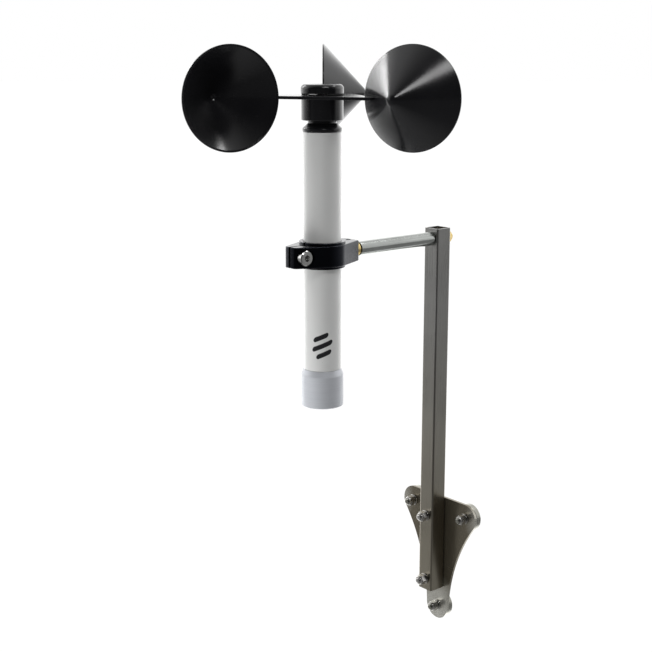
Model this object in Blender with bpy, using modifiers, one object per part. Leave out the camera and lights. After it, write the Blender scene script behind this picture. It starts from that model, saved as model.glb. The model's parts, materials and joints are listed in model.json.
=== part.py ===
"""Three-cup anemometer with its clamp, arm and magnetic bracket, in metres.

The origin is the centre of the lower magnet foot's face, +Y points into the wall
that the feet hold, and +Z is up. The cups' axis is upright, in front of the post.
"""
import bmesh
import bpy
from math import acos, atan2, cos, pi, radians, sin, sqrt, tan
from mathutils import Vector

GAP = 0.0003               # left between two pieces that touch

# bracket
FOOT_R = 0.015
FOOT_T = 0.007
FOOT_SPREAD = 0.080        # between the two upper feet
FOOT_RISE = 0.116          # upper feet above the lower one
PLATE_T = 0.003
LOBE_R = 0.016
WAIST_R = 0.190            # hollow sides of the plate
POST_W = 0.020
POST_WALL = 0.0015
POST_CORNER = 0.0018
POST_LOW = 0.025           # post's lower end above the lower foot
POST_LEN = 0.412
BOLT_LOW = 0.038           # lower post bolt above the lower foot
BOLT_DROP = 0.0025         # upper post bolt below the upper feet
M6_R = 0.003
M6_NUT = 0.010             # across flats
M6_NUT_H = 0.0062
M6_COLLAR_R = 0.0045
M6_COLLAR_H = 0.0022
M6_WASHER_R = 0.006
M6_WASHER_T = 0.0016
STUD_PROUD = 0.0015        # stud end beyond its lock nut

# arm
ARM_DROP = 0.011           # arm axis below the post's top
REACH = 0.1614             # post axis to the tube's axis
SLEEVE_R = 0.0074
SLEEVE_BORE = 0.0050
STUD_R = 0.004
LOCK_NUT_R = 0.0065
LOCK_NUT_T = 0.0060
REAR_WASHER_R = 0.0070
REAR_NUT = 0.011
REAR_NUT_T = 0.0050

# clamp
CLAMP_H = 0.021
CLAMP_WALL = 0.006         # round the tube
CLAMP_LIP_WALL = 0.0040
CLAMP_LIP_H = 0.0025
EAR_LEN = 0.0225           # ears, out from the tube
EAR_W = 0.015
SLIT = 0.0024
BLOCK_LEN = 0.021          # block that takes the arm's stud, out from the tube
BLOCK_W = 0.019
SCREW_OUT = 0.0125         # clamp screw, out from the tube
SCREW_R = 0.004
SCREW_HEAD_R = 0.0075
SCREW_SEAT = 0.0010        # head's seat, sunk into the ear
SCREW_HEAD_H = 0.0080
SET_SCREW_OUT = 0.015
SET_SCREW_R = 0.0022

# sensor body
CELL_R = 0.0129
CELL_LEN = 0.0492
CELL_POLE_R = 0.0030
CELL_POLE_H = 0.0014
SLEEVE_WALL = 0.0014       # battery sleeve
SLEEVE_ROOM = 0.0024       # from the battery sleeve to the tube
TUBE_WALL = 0.002
TUBE_LEN = 0.236
TUBE_BELOW = 0.1165        # tube's lower end below the arm axis
COLLAR_PROUD = 0.0023      # collar beyond the tube
COLLAR_LEN = 0.0383
COLLAR_TAPER = 0.0060
COLLAR_WALL = 0.0030
CAP_T = 0.010
SPRING_H = 0.014
BOARD_W = 0.026
BOARD_T = 0.0016
CARRIER_T = 0.007
PICKUP_W = 0.0045
PICKUP_D = 0.0035
PICKUP_T = 0.0016

# head
FLARE_PROUD = 0.0004       # flare beyond the tube
FLARE_EDGE = 0.0035
NECK_STEP = 0.0015         # neck beyond the boss
NECK_H = 0.0095
BOSS_WALL = 0.0030         # round the upper bearing
BOSS_H = 0.0260            # boss top above the tube
PLUG_LEN = 0.040
BEARING_R = 0.0095
BEARING_T = 0.006
SHAFT_R = 0.0030

# rotor
HUB_R = 0.0205
HUB_WALL = 0.0028
HUB_LIFT = 0.0111          # hub's lower edge above the tube
HUB_H = 0.0206
ARM_PLATE_T = 0.0030
CUP_AT = 0.097             # cup centre from the spin axis
CUP_R = 0.0498
CUP_WALL = 0.0018
CUP_RIM = 0.0020
CUP_LIP = 0.0015
CUP_HALF_ANGLE = radians(47)
CUP_TIP_R = 0.008
TIP_REACH = 0.0245         # arm plate's corner along the cup's axis
TIP_ROUND = 0.004
REST_ANGLE = radians(139.7)  # first cup's arm, seen from above
HUB_CAP_PROUD = 0.0004     # cap beyond the hub
HUB_CAP_H = 0.0090
HUB_CAP_WALL = 0.0018
HUB_CAP_ROUND = 0.0042
HUB_CAP_DISH = 0.0012
CAP_ROOM = 0.0007          # from the shaft's end to the cap
GASKET_T = 0.0009

# places worked out from the sizes above
BOLT_HIGH = FOOT_RISE - BOLT_DROP
PLATE_BACK = -(FOOT_T + GAP)
PLATE_FRONT = PLATE_BACK - PLATE_T
POST_BACK = PLATE_FRONT - GAP
POST_Y = POST_BACK - POST_W / 2
POST_FRONT = POST_BACK - POST_W
TUBE_Y = POST_Y - REACH
POST_TOP = POST_LOW + POST_LEN
ARM_Z = POST_TOP - ARM_DROP
TUBE_R = CELL_R + GAP + SLEEVE_WALL + SLEEVE_ROOM + TUBE_WALL
COLLAR_R = TUBE_R + COLLAR_PROUD
FLARE_R = TUBE_R + FLARE_PROUD
CLAMP_R = TUBE_R + CLAMP_WALL
CLAMP_LIP_R = TUBE_R + CLAMP_LIP_WALL
EAR_END = TUBE_R + EAR_LEN
BLOCK_END = TUBE_R + BLOCK_LEN
SCREW_AT = TUBE_R + SCREW_OUT
SET_SCREW_AT = TUBE_R + SET_SCREW_OUT
BOSS_R = BEARING_R + BOSS_WALL
NECK_R = BOSS_R + NECK_STEP
HUB_CAP_R = HUB_R + HUB_CAP_PROUD
TUBE_LOW = ARM_Z - TUBE_BELOW
TUBE_TOP = TUBE_LOW + TUBE_LEN
TUBE_IN = TUBE_R - TUBE_WALL
COLLAR_LOW = TUBE_LOW - COLLAR_LEN
HUB_LOW = TUBE_TOP + HUB_LIFT
HUB_TOP = HUB_LOW + HUB_H
PLATE_LOW = HUB_TOP + GAP
PLATE_TOP = PLATE_LOW + ARM_PLATE_T
CUP_Z = PLATE_LOW + ARM_PLATE_T / 2
UPPER_BEARING = TUBE_TOP + BOSS_H - BEARING_T - 0.0015
LOWER_BEARING = TUBE_TOP - PLUG_LEN + 0.012
PLUG_LOW = TUBE_TOP - PLUG_LEN

ALONG_Y = (-pi / 2, 0, 0)  # turns an upright piece's +Z to +Y
ALONG_X = (0, pi / 2, 0)   # and to +X


def clear_scene():
    for ob in list(bpy.data.objects):
        bpy.data.objects.remove(ob, do_unlink=True)
    for name in ("cup_anemometer", "cutters"):
        coll = bpy.data.collections.new(name)
        bpy.context.scene.collection.children.link(coll)


def material(name, colour, roughness, metallic):
    mat = bpy.data.materials.get(name)
    if mat is None:
        mat = bpy.data.materials.new(name)
        mat.use_nodes = True
        shader = mat.node_tree.nodes["Principled BSDF"]
        shader.inputs["Base Color"].default_value = (*colour, 1)
        shader.inputs["Roughness"].default_value = roughness
        shader.inputs["Metallic"].default_value = metallic
    return mat


def black_plastic():
    return material("black_plastic", (0.012, 0.012, 0.014), 0.25, 0)


def grey_plastic():
    return material("grey_plastic", (0.55, 0.55, 0.53), 0.40, 0)


def stainless():
    return material("stainless", (0.45, 0.44, 0.41), 0.35, 1)


def aluminium():
    return material("aluminium", (0.65, 0.66, 0.68), 0.30, 1)


def black_anodised():
    return material("black_anodised", (0.02, 0.022, 0.028), 0.40, 1)


def yellow_zinc():
    return material("yellow_zinc", (0.80, 0.64, 0.30), 0.30, 1)


def rubber():
    return material("rubber", (0.02, 0.02, 0.02), 0.80, 0)


def board_green():
    return material("board_green", (0.02, 0.16, 0.07), 0.50, 0)


def cell_wrap():
    return material("cell_wrap", (0.12, 0.22, 0.42), 0.40, 0)


def add(name, mesh, mat, parent=None, at=(0, 0, 0), turn=(0, 0, 0)):
    """Link a new object for a mesh, under its moving parent if it has one."""
    ob = bpy.data.objects.new(name, mesh)
    cutter = mat is None
    bpy.data.collections["cutters" if cutter else "cup_anemometer"].objects.link(ob)
    place = Vector(at)
    if parent is not None:
        ob.parent = parent
        place = place - parent.location
    ob.location = place
    ob.rotation_euler = turn
    if cutter:
        ob.hide_render = True
        ob.display_type = "WIRE"
    else:
        mesh.materials.append(mat)
    return ob


def turned(name, profile, mat, parent=None, at=(0, 0, 0), turn=(0, 0, 0), steps=20):
    """Turn a profile of (radius, height) points, listed down its outer side."""
    mesh = bpy.data.meshes.new(name)
    points = [(r, 0, z) for r, z in profile]
    closed = min(r for r, z in profile) > 0
    edges = [(i, i + 1) for i in range(len(points) - 1)]
    if closed:
        edges.append((len(points) - 1, 0))
    mesh.from_pydata(points, edges, [])
    ob = add(name, mesh, mat, parent, at, turn)
    screw = ob.modifiers.new("turn", "SCREW")
    screw.axis = "Z"
    screw.angle = 2 * pi
    screw.steps = steps
    screw.render_steps = steps
    screw.use_merge_vertices = True
    screw.merge_threshold = 0.00001
    return ob


def ring(name, outer, inner, low, high, mat, parent=None, at=(0, 0, 0), turn=(0, 0, 0), steps=20):
    profile = [(outer, high), (outer, low), (inner, low), (inner, high)]
    return turned(name, profile, mat, parent, at, turn, steps)


def disc(name, radius, low, high, mat, parent=None, at=(0, 0, 0), turn=(0, 0, 0), steps=20):
    profile = [(0, high), (radius, high), (radius, low), (0, low)]
    return turned(name, profile, mat, parent, at, turn, steps)


def box(name, size, mat, parent=None, at=(0, 0, 0), turn=(0, 0, 0)):
    bpy.ops.mesh.primitive_cube_add(size=1)
    made = bpy.context.object
    mesh = made.data
    bpy.data.objects.remove(made, do_unlink=True)
    mesh.name = name
    for v in mesh.vertices:
        v.co = Vector([c * s for c, s in zip(v.co, size)])
    return add(name, mesh, mat, parent, at, turn)


def prism(name, sides, flats, low, high, mat, parent=None, at=(0, 0, 0), turn=(0, 0, 0)):
    """A straight bar with flat sides, such as a hexagon, along its own Z."""
    radius = flats / 2 / cos(pi / sides)
    bpy.ops.mesh.primitive_cylinder_add(vertices=sides, radius=radius, depth=high - low)
    made = bpy.context.object
    mesh = made.data
    bpy.data.objects.remove(made, do_unlink=True)
    mesh.name = name
    for v in mesh.vertices:
        v.co.z += (high + low) / 2
    return add(name, mesh, mat, parent, at, turn)


def outline(name, loops, thickness, mat, parent=None, at=(0, 0, 0), turn=(0, 0, 0)):
    """A flat piece from closed outlines; loops after the first are holes."""
    curve = bpy.data.curves.new(name, "CURVE")
    curve.dimensions = "2D"
    curve.fill_mode = "BOTH"
    curve.extrude = thickness / 2
    for loop in loops:
        spline = curve.splines.new("POLY")
        spline.points.add(len(loop) - 1)
        for point, (x, y) in zip(spline.points, loop):
            point.co = (x, y, 0, 1)
        spline.use_cyclic_u = True
    drawn = bpy.data.objects.new(name, curve)
    bpy.context.scene.collection.objects.link(drawn)
    depsgraph = bpy.context.evaluated_depsgraph_get()
    mesh = bpy.data.meshes.new_from_object(drawn.evaluated_get(depsgraph))
    bpy.data.objects.remove(drawn, do_unlink=True)
    mesh.name = name
    ob = add(name, mesh, mat, parent, at, turn)
    weld(mesh)
    return ob


def weld(mesh):
    bm = bmesh.new()
    bm.from_mesh(mesh)
    bmesh.ops.remove_doubles(bm, verts=bm.verts, dist=0.00001)
    bmesh.ops.recalc_face_normals(bm, faces=bm.faces)
    bm.to_mesh(mesh)
    bm.free()


def change(ob, tool, operation="DIFFERENCE"):
    step = ob.modifiers.new(tool.name, "BOOLEAN")
    step.operation = operation
    step.solver = "EXACT"
    step.object = tool
    return ob


def circle(radius, count, x=0.0, y=0.0):
    return [(x + radius * cos(2 * pi * i / count), y + radius * sin(2 * pi * i / count))
            for i in range(count)]


def arc(cx, cy, radius, start, end, count):
    """Points on an arc, from one angle to the other, both ends included."""
    return [(cx + radius * cos(start + (end - start) * i / count),
             cy + radius * sin(start + (end - start) * i / count)) for i in range(count + 1)]


def rounded_square(width, corner, count=3):
    inset = width / 2 - corner
    points = []
    for i, (sx, sy) in enumerate(((1, 1), (-1, 1), (-1, -1), (1, -1))):
        points += arc(sx * inset, sy * inset, corner, i * pi / 2, (i + 1) * pi / 2, count)
    return points


def empty(name, at):
    ob = bpy.data.objects.new(name, None)
    bpy.data.collections["cup_anemometer"].objects.link(ob)
    ob.location = at
    return ob


# ---- bracket ----

def foot_places():
    half = FOOT_SPREAD / 2
    return {"lower": (0, 0), "left": (-half, FOOT_RISE), "right": (half, FOOT_RISE)}


def lock_nut(name, parent_at):
    """Hexagon with a round collar, bored for its bolt; it points to -Y."""
    nut = prism(name, 6, M6_NUT, 0, M6_NUT_H, stainless(), at=parent_at, turn=(pi / 2, 0, 0))
    collar = turned(name + "_collar", [(0, M6_NUT_H + M6_COLLAR_H), (M6_COLLAR_R, M6_NUT_H + M6_COLLAR_H),
                                       (M6_COLLAR_R, M6_NUT_H / 2), (0, M6_NUT_H / 2)],
                    None, at=parent_at, turn=(pi / 2, 0, 0), steps=12)
    bore = disc(name + "_bore", M6_R + GAP, -0.001, M6_NUT_H + M6_COLLAR_H + 0.001, None,
                at=parent_at, turn=(pi / 2, 0, 0), steps=12)
    change(nut, collar, "UNION")
    return change(nut, bore)


def make_feet():
    """Each pot has a rim round its magnet disc, and a stud through the plate."""
    nut_front = PLATE_FRONT - GAP - M6_WASHER_T - GAP
    stud = -(nut_front - M6_NUT_H - M6_COLLAR_H - STUD_PROUD)
    rim, magnet_depth = 0.0018, 0.0045
    for place, (x, z) in foot_places().items():
        pot = turned("foot_pot_" + place, [
            (0, stud), (M6_R - 0.0008, stud), (M6_R, stud - 0.0008), (M6_R, FOOT_T),
            (FOOT_R - 0.0010, FOOT_T), (FOOT_R, FOOT_T - 0.0010), (FOOT_R, 0),
            (FOOT_R - rim, 0), (FOOT_R - rim, magnet_depth), (0, magnet_depth)],
            stainless(), at=(x, 0, z), turn=(pi / 2, 0, 0), steps=16)
        pot.data.shade_smooth()
        disc("foot_magnet_" + place, FOOT_R - rim - GAP, 0, magnet_depth - GAP,
             material("magnet", (0.35, 0.35, 0.36), 0.40, 1), at=(x, 0, z), turn=(pi / 2, 0, 0), steps=16)
        ring("foot_washer_" + place, M6_WASHER_R, M6_R + GAP, 0, M6_WASHER_T, stainless(),
             at=(x, PLATE_FRONT - GAP, z), turn=(pi / 2, 0, 0), steps=12)
        lock_nut("foot_nut_" + place, (x, nut_front, z))


def plate_outline():
    """Three round lobes, a straight top and two hollow sides, about the lower foot."""
    half = FOOT_SPREAD / 2
    lower, upper = Vector((0, 0)), Vector((half, FOOT_RISE))
    span = upper - lower
    middle = (upper + lower) / 2
    side = Vector((span.y, -span.x)).normalized()
    depth = sqrt((WAIST_R + LOBE_R) ** 2 - (span.length / 2) ** 2)
    centre = middle + side * depth
    to_lower = atan2(lower.y - centre.y, lower.x - centre.x)
    to_upper = atan2(upper.y - centre.y, upper.x - centre.x)
    if to_upper < 0:
        to_upper += 2 * pi
    if to_lower < 0:
        to_lower += 2 * pi
    right = arc(0, 0, LOBE_R, -pi / 2, to_lower - pi, 5)
    right += arc(centre.x, centre.y, WAIST_R, to_lower, to_upper, 8)
    right += arc(half, FOOT_RISE, LOBE_R, to_upper - pi, pi / 2, 7)
    kept = [right[0]]
    for point in right[1:]:
        if (Vector(point) - Vector(kept[-1])).length > 0.0001:
            kept.append(point)
    left = [(-x, y) for x, y in reversed(kept[1:])]
    return kept + left


def make_plate():
    holes = [circle(M6_R + GAP, 12, x, z) for x, z in foot_places().values()]
    holes += [circle(M6_R + GAP, 12, 0, z) for z in (BOLT_LOW, BOLT_HIGH)]
    outline("base_plate", [plate_outline()] + holes, PLATE_T, stainless(),
            at=(0, (PLATE_FRONT + PLATE_BACK) / 2, 0), turn=(pi / 2, 0, 0))


def make_post():
    post = outline("post", [rounded_square(POST_W, POST_CORNER),
                            rounded_square(POST_W - 2 * POST_WALL, POST_CORNER - POST_WALL)],
                   POST_LEN, stainless(), at=(0, POST_Y, POST_LOW + POST_LEN / 2))
    for name, z, radius in (("low", BOLT_LOW, M6_R), ("high", BOLT_HIGH, M6_R), ("arm", ARM_Z, STUD_R)):
        change(post, disc("post_hole_" + name, radius + GAP, -POST_W, POST_W, None,
                          at=(0, POST_Y, z), turn=ALONG_Y, steps=12))


def make_post_bolts():
    head_h = 0.0040
    washer_front = POST_FRONT - GAP
    nut_front = washer_front - M6_WASHER_T - GAP
    for place, z in (("lower", BOLT_LOW), ("upper", BOLT_HIGH)):
        head_back = PLATE_BACK + GAP
        shank = head_back - nut_front + M6_NUT_H + M6_COLLAR_H + 0.001
        bolt = prism("post_bolt_" + place, 6, M6_NUT, -head_h, 0, stainless(),
                     at=(0, head_back, z), turn=(pi / 2, 0, 0))
        profile = [(0, shank), (M6_R - 0.0008, shank), (M6_R, shank - 0.0008), (M6_R, -head_h / 2), (0, -head_h / 2)]
        change(bolt, turned("post_shank_" + place, profile, None, at=(0, head_back, z),
                            turn=(pi / 2, 0, 0), steps=12), "UNION")
        ring("post_washer_" + place, M6_WASHER_R, M6_R + GAP, 0, M6_WASHER_T, stainless(),
             at=(0, washer_front, z), turn=(pi / 2, 0, 0), steps=12)
        lock_nut("post_nut_" + place, (0, nut_front, z))


# ---- arm ----

def make_arm():
    lock_front = TUBE_Y + BLOCK_END + GAP
    sleeve_front = lock_front + LOCK_NUT_T + GAP
    ring("arm_lock_nut", LOCK_NUT_R, STUD_R + GAP, 0, LOCK_NUT_T, yellow_zinc(),
         at=(0, lock_front, ARM_Z), turn=ALONG_Y, steps=16)
    ring("arm_sleeve", SLEEVE_R, SLEEVE_BORE, 0, POST_FRONT - GAP - sleeve_front, stainless(),
         at=(0, sleeve_front, ARM_Z), turn=ALONG_Y, steps=16)
    washer_front = POST_BACK + GAP
    nut_front = washer_front + M6_WASHER_T + GAP
    ring("arm_rear_washer", REAR_WASHER_R, STUD_R + GAP, 0, M6_WASHER_T, yellow_zinc(),
         at=(0, washer_front, ARM_Z), turn=ALONG_Y, steps=12)
    nut = prism("arm_rear_nut", 6, REAR_NUT, 0, REAR_NUT_T, yellow_zinc(),
                at=(0, nut_front, ARM_Z), turn=ALONG_Y)
    change(nut, disc("arm_rear_nut_bore", STUD_R + GAP, -0.001, REAR_NUT_T + 0.001, None,
                     at=(0, nut_front, ARM_Z), turn=ALONG_Y, steps=12))
    stud_front = TUBE_Y + TUBE_R + 0.0075
    stud_len = nut_front + REAR_NUT_T + 0.0025 - stud_front
    turned("arm_stud", [(0, stud_len), (STUD_R - 0.0008, stud_len), (STUD_R, stud_len - 0.0008),
                        (STUD_R, 0), (0, 0)], yellow_zinc(), at=(0, stud_front, ARM_Z),
           turn=ALONG_Y, steps=12)


# ---- clamp ----

def clamp_touch(x, y):
    """Where the line from a corner of the clamp's plan runs onto its ring."""
    reach = Vector((x, y))
    away = acos(CLAMP_R / reach.length)
    angle = atan2(y, x) + (away if y < 0 else -away)
    return angle


def clamp_side():
    """Right half of the clamp's plan, from the ear's end to the block's end."""
    ear, block = EAR_W / 2, BLOCK_W / 2
    first, last = clamp_touch(ear, -EAR_END), clamp_touch(block, BLOCK_END)
    return [(ear, -EAR_END)] + arc(0, 0, CLAMP_R, first, last, 14) + [(block, BLOCK_END)]


def bore_and_slit():
    """The tube's bore, running out through the slit between the ears."""
    half, bore = SLIT / 2, TUBE_R + GAP
    away = acos(-half / bore)
    loop = arc(0, 0, bore, away - pi, 2 * pi - away, 31)
    return loop + [(-half, -EAR_END - 0.01), (half, -EAR_END - 0.01)]


def make_clamp(parent):
    side = clamp_side()
    loop = side + [(-x, y) for x, y in reversed(side)]
    centre = (0, TUBE_Y, ARM_Z)
    top = CLAMP_H / 2 + CLAMP_LIP_H
    clamp = outline("clamp_body", [loop], CLAMP_H, black_anodised(), parent, at=centre)
    change(clamp, disc("clamp_lip", CLAMP_LIP_R, -top, top, None, at=centre, steps=28), "UNION")
    change(clamp, outline("clamp_bore", [bore_and_slit()], 3 * CLAMP_H, None, at=centre))
    seat = EAR_W / 2 - SCREW_SEAT
    screw = (0, TUBE_Y - SCREW_AT, ARM_Z)
    change(clamp, disc("clamp_screw_seat", SCREW_HEAD_R + 2 * GAP, seat, 2 * CLAMP_R, None,
                       at=screw, turn=ALONG_X, steps=24))
    change(clamp, disc("clamp_screw_hole", SCREW_R + GAP, -CLAMP_R, CLAMP_R, None,
                       at=screw, turn=ALONG_X, steps=12))
    change(clamp, disc("clamp_stud_hole", STUD_R + GAP, TUBE_R - 0.004, BLOCK_END + 0.01, None,
                       at=centre, turn=ALONG_Y, steps=12))
    change(clamp, disc("clamp_set_hole", SET_SCREW_R + GAP, 0, CLAMP_H, None,
                       at=(0, TUBE_Y + SET_SCREW_AT, ARM_Z), steps=10))
    shank = seat + EAR_W / 2 - 0.001
    head = turned("clamp_screw", [
        (0, SCREW_HEAD_H), (SCREW_HEAD_R - 0.0007, SCREW_HEAD_H), (SCREW_HEAD_R, SCREW_HEAD_H - 0.0007),
        (SCREW_HEAD_R, 0), (SCREW_R, 0), (SCREW_R, -shank), (0, -shank)], stainless(), parent,
        at=(seat + GAP, screw[1], ARM_Z), turn=ALONG_X, steps=20)
    change(head, prism("clamp_screw_socket", 6, 0.006, SCREW_HEAD_H - 0.004, SCREW_HEAD_H + 0.002,
                       None, at=(seat + GAP, screw[1], ARM_Z), turn=ALONG_X))
    set_len = 0.0035
    bolt = disc("clamp_set_screw", SET_SCREW_R, 0, set_len, black_anodised(), parent,
                at=(0, TUBE_Y + SET_SCREW_AT, ARM_Z + STUD_R + GAP), steps=10)
    change(bolt, prism("clamp_set_socket", 6, 0.002, set_len - 0.0015, set_len + 0.002, None,
                       at=(0, TUBE_Y + SET_SCREW_AT, ARM_Z + STUD_R + GAP)))


# ---- sensor body ----

def make_tube(parent):
    axis = (0, TUBE_Y, 0)
    ring("body_tube", TUBE_R, TUBE_IN, TUBE_LOW, TUBE_TOP, grey_plastic(), parent, axis, steps=28)
    spigot_r, collar_in = TUBE_IN - GAP, TUBE_IN - GAP - COLLAR_WALL / 2
    seat_top = COLLAR_LOW + CAP_T + 2 * GAP
    turned("end_collar", [
        (spigot_r, TUBE_LOW + 0.010), (spigot_r, TUBE_LOW - GAP), (TUBE_R, TUBE_LOW - GAP),
        (COLLAR_R, TUBE_LOW - COLLAR_TAPER), (COLLAR_R, COLLAR_LOW + 0.0012),
        (COLLAR_R - 0.0012, COLLAR_LOW), (COLLAR_R - COLLAR_WALL, COLLAR_LOW),
        (COLLAR_R - COLLAR_WALL, seat_top), (collar_in, seat_top), (collar_in, TUBE_LOW + 0.010)],
        aluminium(), parent, axis, steps=28)


def cap_top():
    return COLLAR_LOW + CAP_T + 0.004


def make_battery(parent, cap):
    axis = (0, TUBE_Y, 0)
    cap_r = COLLAR_R - COLLAR_WALL - GAP
    groove = COLLAR_LOW + CAP_T / 2
    boss_r = CELL_R
    lid = turned("battery_cap", [
        (0, cap_top()), (boss_r, cap_top()), (boss_r, COLLAR_LOW + CAP_T), (cap_r, COLLAR_LOW + CAP_T),
        (cap_r, groove + 0.0010), (cap_r - 0.0016, groove + 0.0010), (cap_r - 0.0016, groove - 0.0010),
        (cap_r, groove - 0.0010), (cap_r, COLLAR_LOW + 0.0004), (0, COLLAR_LOW + 0.0004)],
        aluminium(), cap, axis, steps=20)
    change(lid, box("cap_coin_slot", (0.020, 0.0024, 0.004), None,
                    at=(0, TUBE_Y, COLLAR_LOW + 0.0004)))
    ring("battery_cap_ring", cap_r - 0.0001, cap_r - 0.0016 + GAP, groove - 0.0010 + GAP,
         groove + 0.0010 - GAP, rubber(), cap, axis, steps=20)
    make_spring(cap)
    cell_low = cap_top() + GAP + SPRING_H + GAP
    low = cell_low
    for i in (1, 2):
        turned("battery_cell_%d" % i, [
            (0, low + CELL_LEN + CELL_POLE_H), (CELL_POLE_R, low + CELL_LEN + CELL_POLE_H),
            (CELL_POLE_R, low + CELL_LEN), (CELL_R, low + CELL_LEN), (CELL_R, low), (0, low)],
            cell_wrap(), parent, axis, steps=20)
        low += CELL_LEN + CELL_POLE_H + GAP
    sleeve_low = TUBE_LOW + 0.010 + 2 * GAP
    ring("battery_sleeve", CELL_R + GAP + SLEEVE_WALL, CELL_R + GAP, sleeve_low, low - 0.002,
         grey_plastic(), parent, axis, steps=20)
    disc("contact_disc", TUBE_IN - GAP, low + GAP, low + GAP + 0.0020, yellow_zinc(), parent, axis, steps=20)
    return low + 2 * GAP + 0.0020


def make_spring(cap):
    """A coned coil that presses the cells up; its ends are cut square."""
    wire, turns, per_turn = 0.0006, 3, 8
    low = cap_top() + GAP + wire
    rise = SPRING_H - 2 * wire
    curve = bpy.data.curves.new("battery_spring", "CURVE")
    curve.dimensions = "3D"
    curve.bevel_depth = wire
    curve.bevel_resolution = 1
    curve.use_fill_caps = True
    count = turns * per_turn + 1
    spline = curve.splines.new("POLY")
    spline.points.add(count - 1)
    for i, point in enumerate(spline.points):
        share = i / (count - 1)
        radius = 0.0100 - 0.0055 * share
        angle = 2 * pi * i / per_turn
        point.co = (radius * cos(angle), radius * sin(angle), low + rise * share, 1)
    drawn = bpy.data.objects.new("battery_spring", curve)
    bpy.context.scene.collection.objects.link(drawn)
    depsgraph = bpy.context.evaluated_depsgraph_get()
    mesh = bpy.data.meshes.new_from_object(drawn.evaluated_get(depsgraph))
    bpy.data.objects.remove(drawn, do_unlink=True)
    add("battery_spring", mesh, stainless(), cap, at=(0, TUBE_Y, 0))
    weld(mesh)


def make_electronics(parent, board_low):
    """The board stands on the contact disc; the carrier under the neck's plug holds its top."""
    carrier_top = PLUG_LOW - 3 * GAP
    board_top = carrier_top - CARRIER_T / 2
    box("circuit_board", (BOARD_W, BOARD_T, board_top - board_low), board_green(), parent,
        at=(0, TUBE_Y, (board_low + board_top) / 2))
    carrier = disc("board_carrier", TUBE_IN - GAP, carrier_top - CARRIER_T, carrier_top, grey_plastic(),
                   parent, (0, TUBE_Y, 0), steps=20)
    change(carrier, box("carrier_slot", (BOARD_W + 2 * GAP, BOARD_T + 2 * GAP, CARRIER_T), None,
                        at=(0, TUBE_Y, board_top + GAP - CARRIER_T / 2)))
    box("pickup_sensor", (PICKUP_W, PICKUP_D, PICKUP_T), black_plastic(), parent,
        at=(0, TUBE_Y, carrier_top + GAP + PICKUP_T / 2))


# ---- head ----

def make_neck(parent):
    """Flare, neck and boss outside; two bearing seats and a circlip groove inside."""
    z = TUBE_TOP
    plug_r = TUBE_IN - GAP
    bore = BEARING_R + GAP
    top = z + BOSS_H
    clip = LOWER_BEARING - 0.0015
    groove = 0.0010
    oring = z - 0.008
    turned("neck_housing", [
        (BOSS_R, top), (BOSS_R, z + NECK_H + 0.0005), (NECK_R, z + NECK_H + 0.0005),
        (NECK_R, z + NECK_H - 0.0010), (FLARE_R, z + FLARE_EDGE), (FLARE_R, z + 0.0012),
        (TUBE_R, z + GAP), (plug_r, z + GAP), (plug_r, oring + 0.0010), (plug_r - 0.0014, oring + 0.0010),
        (plug_r - 0.0014, oring - 0.0010), (plug_r, oring - 0.0010), (plug_r, PLUG_LOW), (bore, PLUG_LOW),
        (bore, clip - GAP), (bore + groove, clip - GAP), (bore + groove, clip + 0.0012),
        (bore, clip + 0.0012), (bore, UPPER_BEARING + BEARING_T + GAP),
        (BEARING_R - 0.0015, UPPER_BEARING + BEARING_T + GAP), (BEARING_R - 0.0015, top)],
        black_plastic(), parent, (0, TUBE_Y, 0), steps=24)
    ring("neck_ring", plug_r - 0.0001, plug_r - 0.0014 + GAP, oring - 0.0010 + GAP, oring + 0.0010 - GAP,
         rubber(), parent, (0, TUBE_Y, 0), steps=20)
    ring("housing_circlip", bore + groove - GAP, bore - 0.0015, clip, clip + 0.0012 - GAP,
         stainless(), parent, (0, TUBE_Y, 0), steps=16)


def make_bearings(fixed, rotor):
    axis = (0, TUBE_Y, 0)
    outer_in = BEARING_R - 0.0018
    inner_out = SHAFT_R + 0.0018
    for place, low in (("upper", UPPER_BEARING), ("lower", LOWER_BEARING)):
        high = low + BEARING_T
        shield = inner_out + GAP
        turned("outer_race_" + place, [
            (BEARING_R, high), (BEARING_R, low), (shield, low), (shield, low + 0.0006),
            (outer_in, low + 0.0006), (outer_in, high - 0.0006), (shield, high - 0.0006), (shield, high)],
            stainless(), fixed, axis, steps=16)
        ring("inner_race_" + place, inner_out, SHAFT_R + GAP, low, high, stainless(), rotor, axis, steps=12)
    low, high = LOWER_BEARING + BEARING_T + GAP, UPPER_BEARING - GAP
    ring("race_spacer", BEARING_R, outer_in, low, high, aluminium(), fixed, axis, steps=16)
    ring("shaft_sleeve", inner_out, SHAFT_R + GAP, low, high, aluminium(), rotor, axis, steps=12)


# ---- rotor ----

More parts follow.
